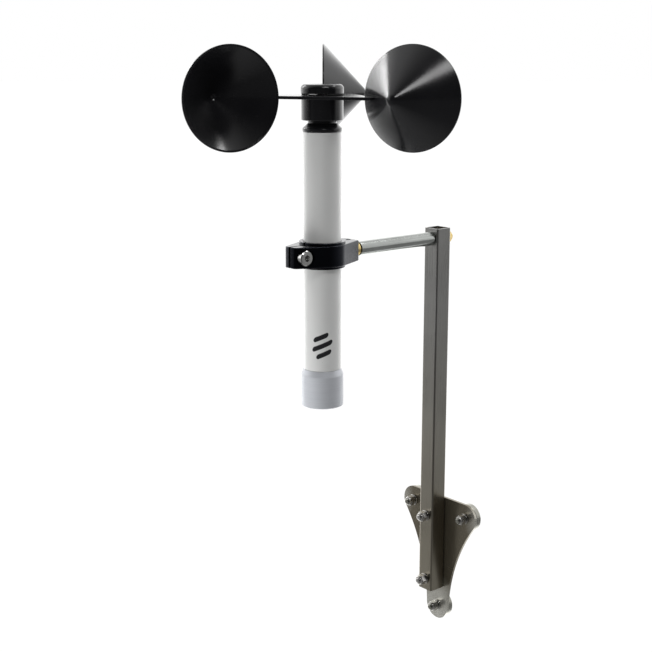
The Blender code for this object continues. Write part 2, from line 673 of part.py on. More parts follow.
def make_shaft(parent):
    axis = (0, TUBE_Y, 0)
    top = PLATE_TOP + 2 * GAP + GASKET_T + HUB_CAP_H - HUB_CAP_WALL - HUB_CAP_DISH - CAP_ROOM
    shoulder = UPPER_BEARING + BEARING_T + GAP
    clip = LOWER_BEARING - 0.0013
    low = LOWER_BEARING - 0.0045
    turned("rotor_shaft", [
        (0, top), (SHAFT_R - 0.0005, top), (SHAFT_R, top - 0.0005), (SHAFT_R, shoulder + 0.0015),
        (SHAFT_R + 0.0018, shoulder + 0.0015), (SHAFT_R + 0.0018, shoulder), (SHAFT_R, shoulder),
        (SHAFT_R, clip + 0.0010), (SHAFT_R - 0.0006, clip + 0.0010), (SHAFT_R - 0.0006, clip - GAP),
        (SHAFT_R, clip - GAP), (SHAFT_R, low), (0, low)], stainless(), parent, axis, steps=12)
    ring("shaft_circlip", SHAFT_R + 0.0018, SHAFT_R - 0.0006 + GAP, clip, clip + 0.0010 - GAP,
         stainless(), parent, axis, steps=12)
    disc("signal_magnet", 0.0050, low - GAP - 0.0035, low - GAP,
         material("magnet", (0.35, 0.35, 0.36), 0.40, 1), parent, axis, steps=12)
    nut_low = PLATE_TOP + GAP
    nut = prism("shaft_nut", 6, 0.010, nut_low, nut_low + 0.0036, stainless(), parent, axis)
    change(nut, disc("shaft_nut_bore", SHAFT_R + GAP, nut_low - 0.001, nut_low + 0.005, None,
                     at=axis, steps=12))


def make_hub(parent):
    axis = (0, TUBE_Y, 0)
    inner = HUB_R - HUB_WALL
    shoulder_top = UPPER_BEARING + BEARING_T + 2 * GAP + 0.0015
    boss_low = shoulder_top
    roof = max(TUBE_TOP + BOSS_H + 0.0010, HUB_TOP - 0.0040)
    turned("rotor_hub", [
        (SHAFT_R + GAP, HUB_TOP), (HUB_R - 0.0004, HUB_TOP), (HUB_R, HUB_TOP - 0.0004),
        (HUB_R, HUB_LOW + 0.0010), (HUB_R - 0.0010, HUB_LOW), (inner, HUB_LOW), (inner, roof),
        (0.0062, roof), (0.0062, boss_low), (SHAFT_R + GAP, boss_low)],
        black_plastic(), parent, axis, steps=24)


def cup_tan():
    return tan(CUP_HALF_ANGLE)


def corner_arc(before, corner, after, radius, count):
    """Round one corner of an outline."""
    corner = Vector(corner)
    a = (Vector(before) - corner).normalized()
    b = (Vector(after) - corner).normalized()
    half = a.angle(b) / 2
    centre = corner + (a + b).normalized() * (radius / sin(half))
    start = corner + a * (radius / tan(half)) - centre
    end = corner + b * (radius / tan(half)) - centre
    first, last = atan2(start.y, start.x), atan2(end.y, end.x)
    if last - first > pi:
        last -= 2 * pi
    if first - last > pi:
        last += 2 * pi
    return arc(centre.x, centre.y, radius, first, last, count)


def plate_corners():
    """Where each cup's rim meets the plate, and the corner that lies along its cone."""
    rim = CUP_AT - CUP_R - GAP / cos(CUP_HALF_ANGLE)
    corners = []
    for k in range(3):
        angle = REST_ANGLE - 2 * pi * k / 3
        out = Vector((cos(angle), sin(angle)))
        along = Vector((sin(angle), -cos(angle)))
        corners.append((out * rim, out * rim + along * CUP_LIP,
                        out * (rim + (TIP_REACH - CUP_LIP) * cup_tan()) + along * TIP_REACH))
    return corners


def make_arm_plate(parent):
    corners = plate_corners()
    loop = []
    for k, (start, lip, tip) in enumerate(corners):
        following = corners[(k + 1) % 3][0]
        loop += [tuple(start), tuple(lip)]
        loop += corner_arc(lip, tip, following, TIP_ROUND, 6)
    outline("arm_plate", [loop, circle(SHAFT_R + GAP, 12)], ARM_PLATE_T, black_plastic(), parent,
            at=(0, TUBE_Y, CUP_Z))


def cup_profile():
    """Cone with a round tip and a short straight lip; its mouth is at height 0."""
    slope = cup_tan()
    sharp = CUP_LIP + CUP_R / slope
    centre = sharp - CUP_TIP_R / sin(CUP_HALF_ANGLE)
    inner_tip = CUP_TIP_R - CUP_WALL
    steps = 3
    outer, inner = [], []
    for i in range(steps + 1):
        angle = pi / 2 + (CUP_HALF_ANGLE - pi / 2) * i / steps
        outer.append((CUP_TIP_R * cos(angle), centre + CUP_TIP_R * sin(angle)))
        inner.append((inner_tip * cos(angle), centre + inner_tip * sin(angle)))
    outer[0] = (0, outer[0][1])
    inner[0] = (0, inner[0][1])
    mouth = CUP_R - CUP_RIM
    meet = CUP_LIP + (CUP_RIM - CUP_WALL / cos(CUP_HALF_ANGLE)) / slope
    return outer + [(CUP_R, CUP_LIP), (CUP_R, 0), (mouth, 0), (mouth, meet)] + inner[::-1]


def make_cups(parent):
    profile = cup_profile()
    for k in range(3):
        angle = REST_ANGLE - 2 * pi * k / 3
        at = (CUP_AT * cos(angle), TUBE_Y + CUP_AT * sin(angle), CUP_Z)
        cup = turned("cup_%d" % (k + 1), profile, black_plastic(), parent, at, (pi / 2, 0, angle), steps=28)
        cup.data.shade_smooth()


def make_hub_cap(parent):
    axis = (0, TUBE_Y, 0)
    low = PLATE_TOP + 2 * GAP + GASKET_T
    top = low + HUB_CAP_H
    ring("cap_gasket", HUB_CAP_R - 0.0009, HUB_CAP_R - 0.0030, PLATE_TOP + GAP, PLATE_TOP + GAP + GASKET_T,
         rubber(), parent, axis, steps=20)
    r, w, e = HUB_CAP_R, HUB_CAP_WALL, HUB_CAP_ROUND
    crown = arc(r - e, top - e, e, pi / 2, 0, 4)
    hollow = arc(r - e, top - e, e - w, 0, pi / 2, 2)
    turned("hub_cap", [(0, top - HUB_CAP_DISH)] + crown + [(r, low), (r - w, low)] + hollow
           + [(0, top - w - HUB_CAP_DISH)],
           black_plastic(), parent, axis, steps=24)


def main():
    clear_scene()
    make_feet()
    make_plate()
    make_post()
    make_post_bolts()
    make_arm()
    clamp_axis = empty("clamp_axis", (0, TUBE_Y, ARM_Z))
    tube_axis = empty("tube_axis", (0, TUBE_Y, ARM_Z))
    cap_axis = empty("cap_axis", (0, TUBE_Y, COLLAR_LOW))
    rotor_axis = empty("rotor_axis", (0, TUBE_Y, CUP_Z))
    make_clamp(clamp_axis)
    make_tube(tube_axis)
    board_low = make_battery(tube_axis, cap_axis)
    make_electronics(tube_axis, board_low)
    make_neck(tube_axis)
    make_bearings(tube_axis, rotor_axis)
    make_shaft(rotor_axis)
    make_hub(rotor_axis)
    make_arm_plate(rotor_axis)
    make_cups(rotor_axis)
    make_hub_cap(rotor_axis)
    for ob in bpy.data.collections["cup_anemometer"].objects:
        if ob.type == "MESH":
            ob.data.shade_smooth()
            ob.data.set_sharp_from_angle(angle=radians(35))


main()
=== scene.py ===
import json
from math import acos, atan2, cos, pi, radians, sin, sqrt, tan

import bmesh
import bpy
from mathutils import Matrix, Vector


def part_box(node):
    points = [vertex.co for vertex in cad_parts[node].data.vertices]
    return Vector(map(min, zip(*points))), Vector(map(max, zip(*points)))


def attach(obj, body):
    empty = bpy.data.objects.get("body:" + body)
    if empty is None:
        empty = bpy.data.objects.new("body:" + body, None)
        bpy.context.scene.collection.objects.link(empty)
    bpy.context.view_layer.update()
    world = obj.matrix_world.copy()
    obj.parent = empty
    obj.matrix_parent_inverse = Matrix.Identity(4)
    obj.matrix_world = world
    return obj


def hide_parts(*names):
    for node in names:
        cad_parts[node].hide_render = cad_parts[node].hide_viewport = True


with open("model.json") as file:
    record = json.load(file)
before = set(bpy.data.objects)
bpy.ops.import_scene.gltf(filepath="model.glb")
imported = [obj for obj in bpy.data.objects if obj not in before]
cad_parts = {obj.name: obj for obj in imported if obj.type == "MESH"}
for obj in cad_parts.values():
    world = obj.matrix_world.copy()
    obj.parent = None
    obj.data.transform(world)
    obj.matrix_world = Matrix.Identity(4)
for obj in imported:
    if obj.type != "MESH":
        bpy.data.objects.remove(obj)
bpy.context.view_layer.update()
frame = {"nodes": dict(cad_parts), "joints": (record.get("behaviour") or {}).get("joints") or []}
print("frame loaded:", len(frame["nodes"]), "nodes")

# what the frame says about places
tubeLowCorner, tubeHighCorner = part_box("body_tube")
tubeCentre = (tubeLowCorner + tubeHighCorner) / 2
tubeRadius = (tubeHighCorner.x - tubeLowCorner.x) / 2
tubeLow, tubeTop = tubeLowCorner.z, tubeHighCorner.z
tubeY = tubeCentre.y
joints = {joint["name"]: joint for joint in frame["joints"]}
armHeight = joints["clamp_swivel"]["pos_m"][2]
gap = 0.0003   # between pieces that fit together
alongY = (-pi / 2, 0, 0)   # turns a piece's own +Z to +Y
againstY = (pi / 2, 0, 0)
alongX = (0, pi / 2, 0)


# making shapes

def arc(cx, cy, radius, start, end, count):
    return [(cx + radius * cos(start + (end - start) * i / count),
             cy + radius * sin(start + (end - start) * i / count)) for i in range(count + 1)]


def cornerArc(before, corner, after, radius, count):
    # the arc that rounds a corner between the points before and after it
    corner = Vector(corner)
    a = (Vector(before) - corner).normalized()
    b = (Vector(after) - corner).normalized()
    half = a.angle(b) / 2
    centre = corner + (a + b).normalized() * (radius / sin(half))
    start = corner + a * (radius / tan(half)) - centre
    end = corner + b * (radius / tan(half)) - centre
    first = atan2(start.y, start.x)
    sweep = (atan2(end.y, end.x) - first + pi) % (2 * pi) - pi
    return arc(centre.x, centre.y, radius, first, first + sweep, count)


def roundCorners(points, closed, steps=4):
    # points are (radius, height) or (radius, height, rounding)
    made = []
    count = len(points)
    for i, point in enumerate(points):
        rounding = point[2] if len(point) > 2 else 0
        if rounding == 0 or (not closed and i in (0, count - 1)):
            made.append((point[0], point[1]))
            continue
        corner, before, after = (Vector(near[:2]) for near in (point, points[i - 1], points[(i + 1) % count]))
        half = (before - corner).angle(after - corner) / 2
        room = 0.48 * min((before - corner).length, (after - corner).length)
        radius = min(rounding, room * tan(half))
        made += cornerArc(before, corner, after, radius, steps)
    return made


def lathe(name, points, steps=96, at=(0, 0, 0), turn=(0, 0, 0), roundSteps=4):
    # spins a profile round its own Z; a profile that touches the axis is closed by itself
    closed = min(p[0] for p in points) > 0
    profile = roundCorners(points, closed, roundSteps)
    mesh = bpy.data.meshes.new(name)
    bm = bmesh.new()
    rings = []
    for r, z in profile:
        if r < 1e-7:
            rings.append([bm.verts.new((0, 0, z))])
        else:
            rings.append([bm.verts.new((r * cos(2 * pi * k / steps), r * sin(2 * pi * k / steps), z))
                          for k in range(steps)])
    pairs = list(zip(rings, rings[1:])) + ([(rings[-1], rings[0])] if closed else [])
    for a, b in pairs:
        for k in range(steps):
            j = (k + 1) % steps
            corners = [a[k % len(a)], a[j % len(a)], b[j % len(b)], b[k % len(b)]]
            unique = []
            for v in corners:
                if v not in unique:
                    unique.append(v)
            if len(unique) > 2:
                bm.faces.new(unique)
    bmesh.ops.recalc_face_normals(bm, faces=bm.faces)
    bm.to_mesh(mesh)
    bm.free()
    return link(name, mesh, at, turn)


def link(name, mesh, at=(0, 0, 0), turn=(0, 0, 0)):
    ob = bpy.data.objects.new(name, mesh)
    bpy.context.scene.collection.objects.link(ob)
    ob.location = at
    ob.rotation_euler = turn
    return ob


def flatPiece(name, loops, thickness, at=(0, 0, 0), turn=(0, 0, 0)):
    # closed outlines filled and thickened; loops after the first are holes
    curve = bpy.data.curves.new(name, "CURVE")
    curve.dimensions = "2D"
    curve.fill_mode = "BOTH"
    curve.extrude = thickness / 2
    for loop in loops:
        spline = curve.splines.new("POLY")
        spline.points.add(len(loop) - 1)
        for point, (x, y) in zip(spline.points, loop):
            point.co = (x, y, 0, 1)
        spline.use_cyclic_u = True
    drawn = bpy.data.objects.new(name, curve)
    bpy.context.scene.collection.objects.link(drawn)
    mesh = bpy.data.meshes.new_from_object(drawn.evaluated_get(bpy.context.evaluated_depsgraph_get()))
    bpy.data.objects.remove(drawn, do_unlink=True)
    bm = bmesh.new()
    bm.from_mesh(mesh)
    bmesh.ops.remove_doubles(bm, verts=bm.verts, dist=0.000005)
    bmesh.ops.dissolve_limit(bm, angle_limit=radians(1), verts=bm.verts, edges=bm.edges)
    bmesh.ops.recalc_face_normals(bm, faces=bm.faces)
    bm.to_mesh(mesh)
    bm.free()
    return link(name, mesh, at, turn)


def settle(ob):
    # keeps what the modifiers make as the piece's own mesh
    mesh = bpy.data.meshes.new_from_object(ob.evaluated_get(bpy.context.evaluated_depsgraph_get()))
    ob.modifiers.clear()
    ob.data = mesh
    return ob


def soften(ob, width, segments=3, angle=35):
    bevel = ob.modifiers.new("edges", "BEVEL")
    bevel.width = width
    bevel.segments = segments
    bevel.limit_method = "ANGLE"
    bevel.angle_limit = radians(angle)
    return settle(ob)


def combine(ob, tools, operation="DIFFERENCE"):
    for tool in tools if isinstance(tools, list) else [tools]:
        step = ob.modifiers.new(tool.name, "BOOLEAN")
        step.operation = operation
        step.solver = "EXACT"
        step.object = tool
        bpy.context.view_layer.update()
        settle(ob)
        bpy.data.objects.remove(tool, do_unlink=True)
    return ob


def circle(radius, count, x=0.0, y=0.0):
    return [(x + radius * cos(2 * pi * i / count), y + radius * sin(2 * pi * i / count))
            for i in range(count)]


def hexagon(flats):
    return [(flats / 2 / cos(pi / 6) * cos(pi / 3 * i), flats / 2 / cos(pi / 6) * sin(pi / 3 * i))
            for i in range(6)]


bigThread = (0.00125, 0.0006)   # pitch and depth
smallThread = (0.0010, 0.0005)


def threadProfile(radius, low, high, pitch, depth):
    # V grooves from high to low along a bolt's side
    points = []
    count = int((high - low) / pitch)
    for k in range(count):
        z = high - k * pitch
        points += [(radius, z), (radius, z - 0.12 * pitch), (radius - depth, z - 0.56 * pitch)]
    return points


def dress(ob, material, body, slot, *nodes):
    # finish, smooth shading, body and the CAD nodes that the piece stands for
    ob.data.materials.clear()
    ob.data.materials.append(material)
    for polygon in ob.data.polygons:
        polygon.material_index = 0
        polygon.use_smooth = True
    ob.data.set_sharp_from_angle(angle=radians(32))
    weighted = ob.modifiers.new("shading", "WEIGHTED_NORMAL")
    weighted.keep_sharp = True
    weighted.weight = 80
    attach(ob, body)
    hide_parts(*nodes)
    return ob


# finishes

def mixColour(tree, low, high, factor):
    mix = tree.nodes.new("ShaderNodeMix")
    mix.data_type = "RGBA"
    mix.inputs["A"].default_value = (*low, 1)
    mix.inputs["B"].default_value = (*high, 1)
    tree.links.new(factor, mix.inputs["Factor"])
    return mix.outputs["Result"]


def noise(tree, vector, scale, detail=4.0, roughness=0.55):
    tex = tree.nodes.new("ShaderNodeTexNoise")
    tex.inputs["Scale"].default_value = scale
    tex.inputs["Detail"].default_value = detail
    tex.inputs["Roughness"].default_value = roughness
    tree.links.new(vector, tex.inputs["Vector"])
    return tex.outputs["Fac"]


def spread(tree, value, fromLow, fromHigh, low, high):
    ranged = tree.nodes.new("ShaderNodeMapRange")
    ranged.inputs["From Min"].default_value = fromLow
    ranged.inputs["From Max"].default_value = fromHigh
    ranged.inputs["To Min"].default_value = low
    ranged.inputs["To Max"].default_value = high
    tree.links.new(value, ranged.inputs["Value"])
    return ranged.outputs["Result"]


def stretched(tree, scale=(1, 1, 1)):
    # the piece's own coordinates, in metres
    place = tree.nodes.new("ShaderNodeTexCoord")
    mapping = tree.nodes.new("ShaderNodeMapping")
    mapping.inputs["Scale"].default_value = scale
    tree.links.new(place.outputs["Object"], mapping.inputs["Vector"])
    return mapping.outputs["Vector"]


def overlay(tree, colour, other, factor, way="MIX"):
    # puts one plain colour over another where the factor says
    mix = tree.nodes.new("ShaderNodeMix")
    mix.data_type = "RGBA"
    mix.blend_type = way
    mix.inputs["B"].default_value = (*other, 1)
    tree.links.new(factor, mix.inputs["Factor"])
    tree.links.new(colour, mix.inputs["A"])
    return mix.outputs["Result"]


def maths(tree, operation, first, second=None):
    node = tree.nodes.new("ShaderNodeMath")
    node.operation = operation
    for socket, value in zip(node.inputs, (first, second)):
        if isinstance(value, (int, float)):
            socket.default_value = value
        elif value is not None:
            tree.links.new(value, socket)
    return node.outputs["Value"]


def distance(tree, across, up):
    squares = [maths(tree, "MULTIPLY", part, part) for part in (across, up)]
    return maths(tree, "SQRT", maths(tree, "ADD", *squares))


def split(tree, vector):
    parts = tree.nodes.new("ShaderNodeSeparateXYZ")
    tree.links.new(vector, parts.inputs["Vector"])
    return parts.outputs["X"], parts.outputs["Y"], parts.outputs["Z"]


def printedMark(tree, mark):
    # bars with round ends, laid out round the tube: u runs round it, v up it
    x, y, z = split(tree, stretched(tree))
    side, front = cos(mark["azimuth"]), sin(mark["azimuth"])
    along = maths(tree, "ADD", maths(tree, "MULTIPLY", x, side), maths(tree, "MULTIPLY", y, front))
    across = maths(tree, "SUBTRACT", maths(tree, "MULTIPLY", y, side), maths(tree, "MULTIPLY", x, front))
    u = maths(tree, "MULTIPLY", maths(tree, "ARCTAN2", across, along), tubeRadius)
    slant = maths(tree, "MULTIPLY", u, mark["slant"])
    v = maths(tree, "SUBTRACT", maths(tree, "SUBTRACT", z, mark["height"]), slant)
    total = None
    for shift, rise, half in mark["bars"]:
        aside = maths(tree, "ABSOLUTE", maths(tree, "SUBTRACT", u, shift))
        past = maths(tree, "MAXIMUM", maths(tree, "SUBTRACT", aside, half), 0.0)
        away = distance(tree, past, maths(tree, "SUBTRACT", v, rise))
        bar = spread(tree, away, mark["thick"] - mark["blur"], mark["thick"] + mark["blur"], 1, 0)
        total = bar if total is None else maths(tree, "MAXIMUM", total, bar)
    return total


def makeFinish(name, look):
    mat = bpy.data.materials.new(name)
    mat.use_nodes = True
    tree = mat.node_tree
    shader = tree.nodes["Principled BSDF"]
    shader.inputs["Metallic"].default_value = look["metallic"]
    shader.inputs["Coat Weight"].default_value = look.get("coat", 0)
    shader.inputs["Coat Roughness"].default_value = look.get("coatRoughness", 0.1)
    grain = noise(tree, stretched(tree, look["grain"]), 1.0, look.get("grainDetail", 5))
    own = stretched(tree)
    cloud = noise(tree, own, look.get("cloud", 30), 3)
    both = tree.nodes.new("ShaderNodeMix")
    both.inputs["Factor"].default_value = look.get("cloudShare", 0.4)
    tree.links.new(grain, both.inputs["A"])
    tree.links.new(cloud, both.inputs["B"])
    tone = spread(tree, both.outputs["Result"], 0.3, 0.7, 0, 1)
    colour = mixColour(tree, look["dark"], look["light"], tone)
    if "specks" in look:   # dust and fine marks
        fleck = noise(tree, own, look["specks"]["scale"], 2)
        share = spread(tree, fleck, look["specks"]["from"], look["specks"]["from"] + 0.05, 0, 1)
        colour = overlay(tree, colour, look["specks"]["colour"], share)
    if "low" in look:      # another tint toward the piece's lower end
        low = look["low"]
        share = spread(tree, split(tree, own)[2], low["to"], low["from"], 0, 1)
        colour = overlay(tree, colour, low["colour"], share, "MULTIPLY")
    if "paintedShade" in look:    # painted shade: darker brown away from some places across and up the piece, so the middle round the post looks shaded while the lobes stay bright
        paintedShade = look["paintedShade"]
        flatX, flatY, _ = split(tree, own)
        total = None
        for x, y in paintedShade["spots"]:
            away = distance(tree, maths(tree, "SUBTRACT", flatX, x), maths(tree, "SUBTRACT", flatY, y))
            shadeShare = spread(tree, away, paintedShade["to"], paintedShade["from"], 0, 1)
            total = shadeShare if total is None else maths(tree, "MINIMUM", total, shadeShare)
        colour = overlay(tree, colour, paintedShade["colour"], total, "MULTIPLY")
    if "mark" in look:     # a printed mark: slanted bars on the tube's side
        colour = overlay(tree, colour, look["mark"]["colour"], printedMark(tree, look["mark"]))
    tree.links.new(colour, shader.inputs["Base Color"])
    tree.links.new(spread(tree, both.outputs["Result"], 0.3, 0.7, *look["roughness"]),
                   shader.inputs["Roughness"])
    bump = tree.nodes.new("ShaderNodeBump")
    bump.inputs["Strength"].default_value = look.get("bumpStrength", 0.3)
    bump.inputs["Distance"].default_value = look["bump"]
    tree.links.new(grain, bump.inputs["Height"])
    tree.links.new(bump.outputs["Normal"], shader.inputs["Normal"])
    return mat


mouldedBlack = makeFinish("mouldedBlack", {
    "metallic": 0, "dark": (0.0075, 0.0075, 0.0085), "light": (0.0125, 0.0125, 0.0145),
    "roughness": (0.17, 0.24), "grain": (900, 900, 900), "grainDetail": 3, "cloud": 22, "cloudShare": 0.7,
    "bump": 0.00003, "bumpStrength": 0.12,
    "specks": {"scale": 420, "from": 0.76, "colour": (0.05, 0.05, 0.05)}})
enamelGrey = makeFinish("enamelGrey", {
    "metallic": 0, "dark": (0.72, 0.725, 0.715), "light": (0.77, 0.775, 0.765), "roughness": (0.30, 0.38),
    "grain": (1500, 1500, 1500), "grainDetail": 3, "cloud": 14, "cloudShare": 0.6,
    "bump": 0.00004, "bumpStrength": 0.15, "coat": 0.25, "coatRoughness": 0.22,
    "specks": {"scale": 600, "from": 0.75, "colour": (0.42, 0.42, 0.40)},
    "mark": {"azimuth": radians(-40), "height": tubeLow + 0.0265, "slant": 0.42, "thick": 0.0025,
             "blur": 0.0001, "colour": (0.012, 0.012, 0.014),
             "bars": ((-0.0015, 0.0092, 0.0052), (0.0, 0.0, 0.0080), (0.0015, -0.0092, 0.0052))}})
turnedAluminium = makeFinish("turnedAluminium", {   # fine blasted and clear anodised
    "metallic": 0.2, "dark": (0.56, 0.58, 0.62), "light": (0.67, 0.69, 0.73), "roughness": (0.38, 0.50),
    "grain": (25, 25, 5200), "grainDetail": 6, "cloud": 40, "cloudShare": 0.25,
    "bump": 0.00003, "bumpStrength": 0.35})
blackAnodised = makeFinish("blackAnodised", {
    "metallic": 1, "dark": (0.006, 0.007, 0.011), "light": (0.014, 0.016, 0.024), "roughness": (0.24, 0.36),
    "grain": (1800, 1800, 1800), "grainDetail": 4, "cloud": 60, "cloudShare": 0.35,
    "bump": 0.00003, "bumpStrength": 0.25, "coat": 0.22, "coatRoughness": 0.22})
brushedUp = makeFinish("brushedUp", {     # drawn lengthwise, along the piece's own Z
    "metallic": 1, "dark": (0.29, 0.288, 0.278), "light": (0.44, 0.438, 0.425), "roughness": (0.24, 0.36),
    "low": {"from": -0.14, "to": 0.12, "colour": (1.0, 0.93, 0.78)},
    "grain": (2600, 2600, 14), "grainDetail": 7, "cloud": 9, "cloudShare": 0.45,
    "bump": 0.00002, "bumpStrength": 0.35})
plateSteel = makeFinish("plateSteel", {   # cut sheet, brushed across
    "metallic": 0.85, "dark": (0.60, 0.59, 0.53), "light": (0.84, 0.83, 0.76), "roughness": (0.20, 0.30),
    "grain": (16, 1900, 1900), "grainDetail": 6, "cloud": 20, "cloudShare": 0.7,
    "bump": 0.00001, "bumpStrength": 0.15,
    # painted shade: the plate turns dark brown away from the three foot lobes, across the middle round the
    # post
    "paintedShade": {"spots": ((0, 0), (-0.08, 0.116), (0.08, 0.116)), "from": 0.040, "to": 0.014,
              "colour": (0.30, 0.27, 0.225)}})
potSteel = makeFinish("potSteel", {
    "metallic": 1, "dark": (0.30, 0.295, 0.26), "light": (0.46, 0.455, 0.41), "roughness": (0.22, 0.34),
    "grain": (20, 20, 2600), "grainDetail": 4, "cloud": 60, "cloudShare": 0.5,
    "bump": 0.00001, "bumpStrength": 0.2})
drawnSteel = makeFinish("drawnSteel", {   # smooth tube, faint lines along it
    "metallic": 1, "dark": (0.30, 0.315, 0.30), "light": (0.50, 0.515, 0.50), "roughness": (0.16, 0.26),
    "grain": (1500, 1500, 8), "grainDetail": 3, "cloud": 30, "cloudShare": 0.5,
    "bump": 0.000004, "bumpStrength": 0.15})
turnedSteel = makeFinish("turnedSteel", {
    "metallic": 1, "dark": (0.46, 0.46, 0.45), "light": (0.70, 0.70, 0.69), "roughness": (0.14, 0.26),
    "grain": (20, 20, 2600), "grainDetail": 4, "cloud": 50, "cloudShare": 0.5,
    "bump": 0.00001, "bumpStrength": 0.2})
boltSteel = makeFinish("boltSteel", {
    "metallic": 1, "dark": (0.38, 0.37, 0.35), "light": (0.68, 0.67, 0.65), "roughness": (0.18, 0.36),
    "grain": (900, 900, 900), "grainDetail": 5, "cloud": 160, "cloudShare": 0.5,
    "bump": 0.00003, "bumpStrength": 0.3})
yellowZinc = makeFinish("yellowZinc", {
    "metallic": 1, "dark": (0.62, 0.43, 0.15), "light": (0.86, 0.70, 0.33), "roughness": (0.22, 0.38),
    "grain": (800, 800, 800), "grainDetail": 4, "cloud": 130, "cloudShare": 0.6,
    "bump": 0.00002, "bumpStrength": 0.25})
sealRubber = makeFinish("sealRubber", {
    "metallic": 0, "dark": (0.010, 0.010, 0.010), "light": (0.030, 0.030, 0.030), "roughness": (0.62, 0.85),
    "grain": (2400, 2400, 2400), "grainDetail": 3, "cloud": 200, "cloudShare": 0.3,
    "bump": 0.00004, "bumpStrength": 0.4})
mouldedGrey = makeFinish("mouldedGrey", {
    "metallic": 0, "dark": (0.50, 0.50, 0.48), "light": (0.58, 0.58, 0.56), "roughness": (0.42, 0.58),
    "grain": (1400, 1400, 1400), "grainDetail": 3, "cloud": 60, "cloudShare": 0.4,
    "bump": 0.00004, "bumpStrength": 0.3})
boardGreen = makeFinish("boardGreen", {
    "metallic": 0, "dark": (0.008, 0.085, 0.035), "light": (0.030, 0.20, 0.085), "roughness": (0.30, 0.45),
    "grain": (420, 1, 60), "grainDetail": 1, "cloud": 300, "cloudShare": 0.3,
    "bump": 0.00006, "bumpStrength": 0.4, "coat": 0.4})
cellWrap = makeFinish("cellWrap", {
    "metallic": 0, "dark": (0.030, 0.085, 0.24), "light": (0.10, 0.20, 0.42), "roughness": (0.25, 0.38),
    "grain": (8, 8, 160), "grainDetail": 2, "cloud": 40, "cloudShare": 0.2,
    "bump": 0.00003, "bumpStrength": 0.2, "coat": 0.5})
magnetPlate = makeFinish("magnetPlate", {
    "metallic": 1, "dark": (0.28, 0.28, 0.29), "light": (0.46, 0.46, 0.47), "roughness": (0.22, 0.40),
    "grain": (600, 600, 600), "grainDetail": 5, "cloud": 90, "cloudShare": 0.5,
    "bump": 0.00003, "bumpStrength": 0.3})
print("finishes made:", len(bpy.data.materials))


# rotor

rotor = {"cupAt": 0.097, "firstArm": 139.7, "height": joints["rotor_spin"]["pos_m"][2]}
cupShape = {"radius": 0.0498, "wall": 0.0018, "rim": 0.0020, "lip": 0.0015, "halfAngle": 47, "tip": 0.008,
            "gate": 0.0016, "steps": 192}


def cupProfile():
    half = radians(cupShape["halfAngle"])
    slope = tan(half)
    sharp = cupShape["lip"] + cupShape["radius"] / slope
    centre = sharp - cupShape["tip"] / sin(half)
    innerTip = cupShape["tip"] - cupShape["wall"]
    arcSteps = 10
    outer, inner = [], []
    for i in range(arcSteps + 1):
        angle = pi / 2 + (half - pi / 2) * i / arcSteps
        outer.append((cupShape["tip"] * cos(angle), centre + cupShape["tip"] * sin(angle)))
        inner.append((innerTip * cos(angle), centre + innerTip * sin(angle)))
    outer[0] = (0, outer[0][1])
    top = centre + innerTip
    gate = [(cupShape["gate"] + 0.00025, top - 0.00005), (cupShape["gate"], top - 0.0004), (0, top - 0.0004)]
    inner = [p for p in inner if p[0] > cupShape["gate"] + 0.0004]
    mouth = cupShape["radius"] - cupShape["rim"]
    meet = cupShape["lip"] + (cupShape["rim"] - cupShape["wall"] / cos(half)) / slope
    # extra rings down the cone keep its shading even
    lastR, lastZ = outer[-1]
    coneOut = [(lastR + (cupShape["radius"] - lastR) * t, lastZ + (cupShape["lip"] - lastZ) * t)
               for t in (0.02, 0.5, 0.985)]
    return (outer + coneOut + [(cupShape["radius"], cupShape["lip"], 0.0005),
                               (cupShape["radius"], 0, 0.0005), (mouth, 0, 0.0004),
                               (mouth, meet, 0.0004)] + inner[::-1] + gate)


def armDirection(k):
    # the arm's angle, the way out along it and the way its cup faces
    angle = radians(rotor["firstArm"]) - 2 * pi * k / 3
    return angle, Vector((cos(angle), sin(angle))), Vector((sin(angle), -cos(angle)))


for k in range(3):
    angle, out, _ = armDirection(k)
    name = "cup_%d" % (k + 1)
    cup = lathe(name + "_shell", cupProfile(), cupShape["steps"],
                (rotor["cupAt"] * out.x, tubeY + rotor["cupAt"] * out.y, rotor["height"]),
                (pi / 2, 0, angle), 3)
    bpy.context.view_layer.update()
    cup.data.transform(cup.matrix_world)   # turned in the mesh itself
    cup.matrix_world = Matrix.Identity(4)
    dress(cup, mouldedBlack, "rotor", "black_plastic", name)

plateShape = {"reach": 0.0245, "tipRound": 0.004, "edge": 0.0010, "shaftHole": 0.0033}


def armPlateLoop():
    half = radians(cupShape["halfAngle"])
    rim = rotor["cupAt"] - cupShape["radius"] - gap / cos(half)
    corners = []
    for k in range(3):
        _, out, along = armDirection(k)
        corners.append((out * rim, out * rim + along * cupShape["lip"],
                        out * (rim + (plateShape["reach"] - cupShape["lip"]) * tan(half))
                        + along * plateShape["reach"]))
    loop = []
    for k, (start, lip, tip) in enumerate(corners):
        loop += [tuple(start), tuple(lip)]
        loop += cornerArc(lip, tip, corners[(k + 1) % 3][0], plateShape["tipRound"], 16)
    return loop


plateLow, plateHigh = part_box("arm_plate")
armPlate = flatPiece("arm_plate_shaped", [armPlateLoop(), circle(plateShape["shaftHole"], 48)],
                     plateHigh.z - plateLow.z, (0, tubeY, (plateLow.z + plateHigh.z) / 2))
dress(soften(armPlate, plateShape["edge"], 4, 50), mouldedBlack, "rotor", "black_plastic", "arm_plate")

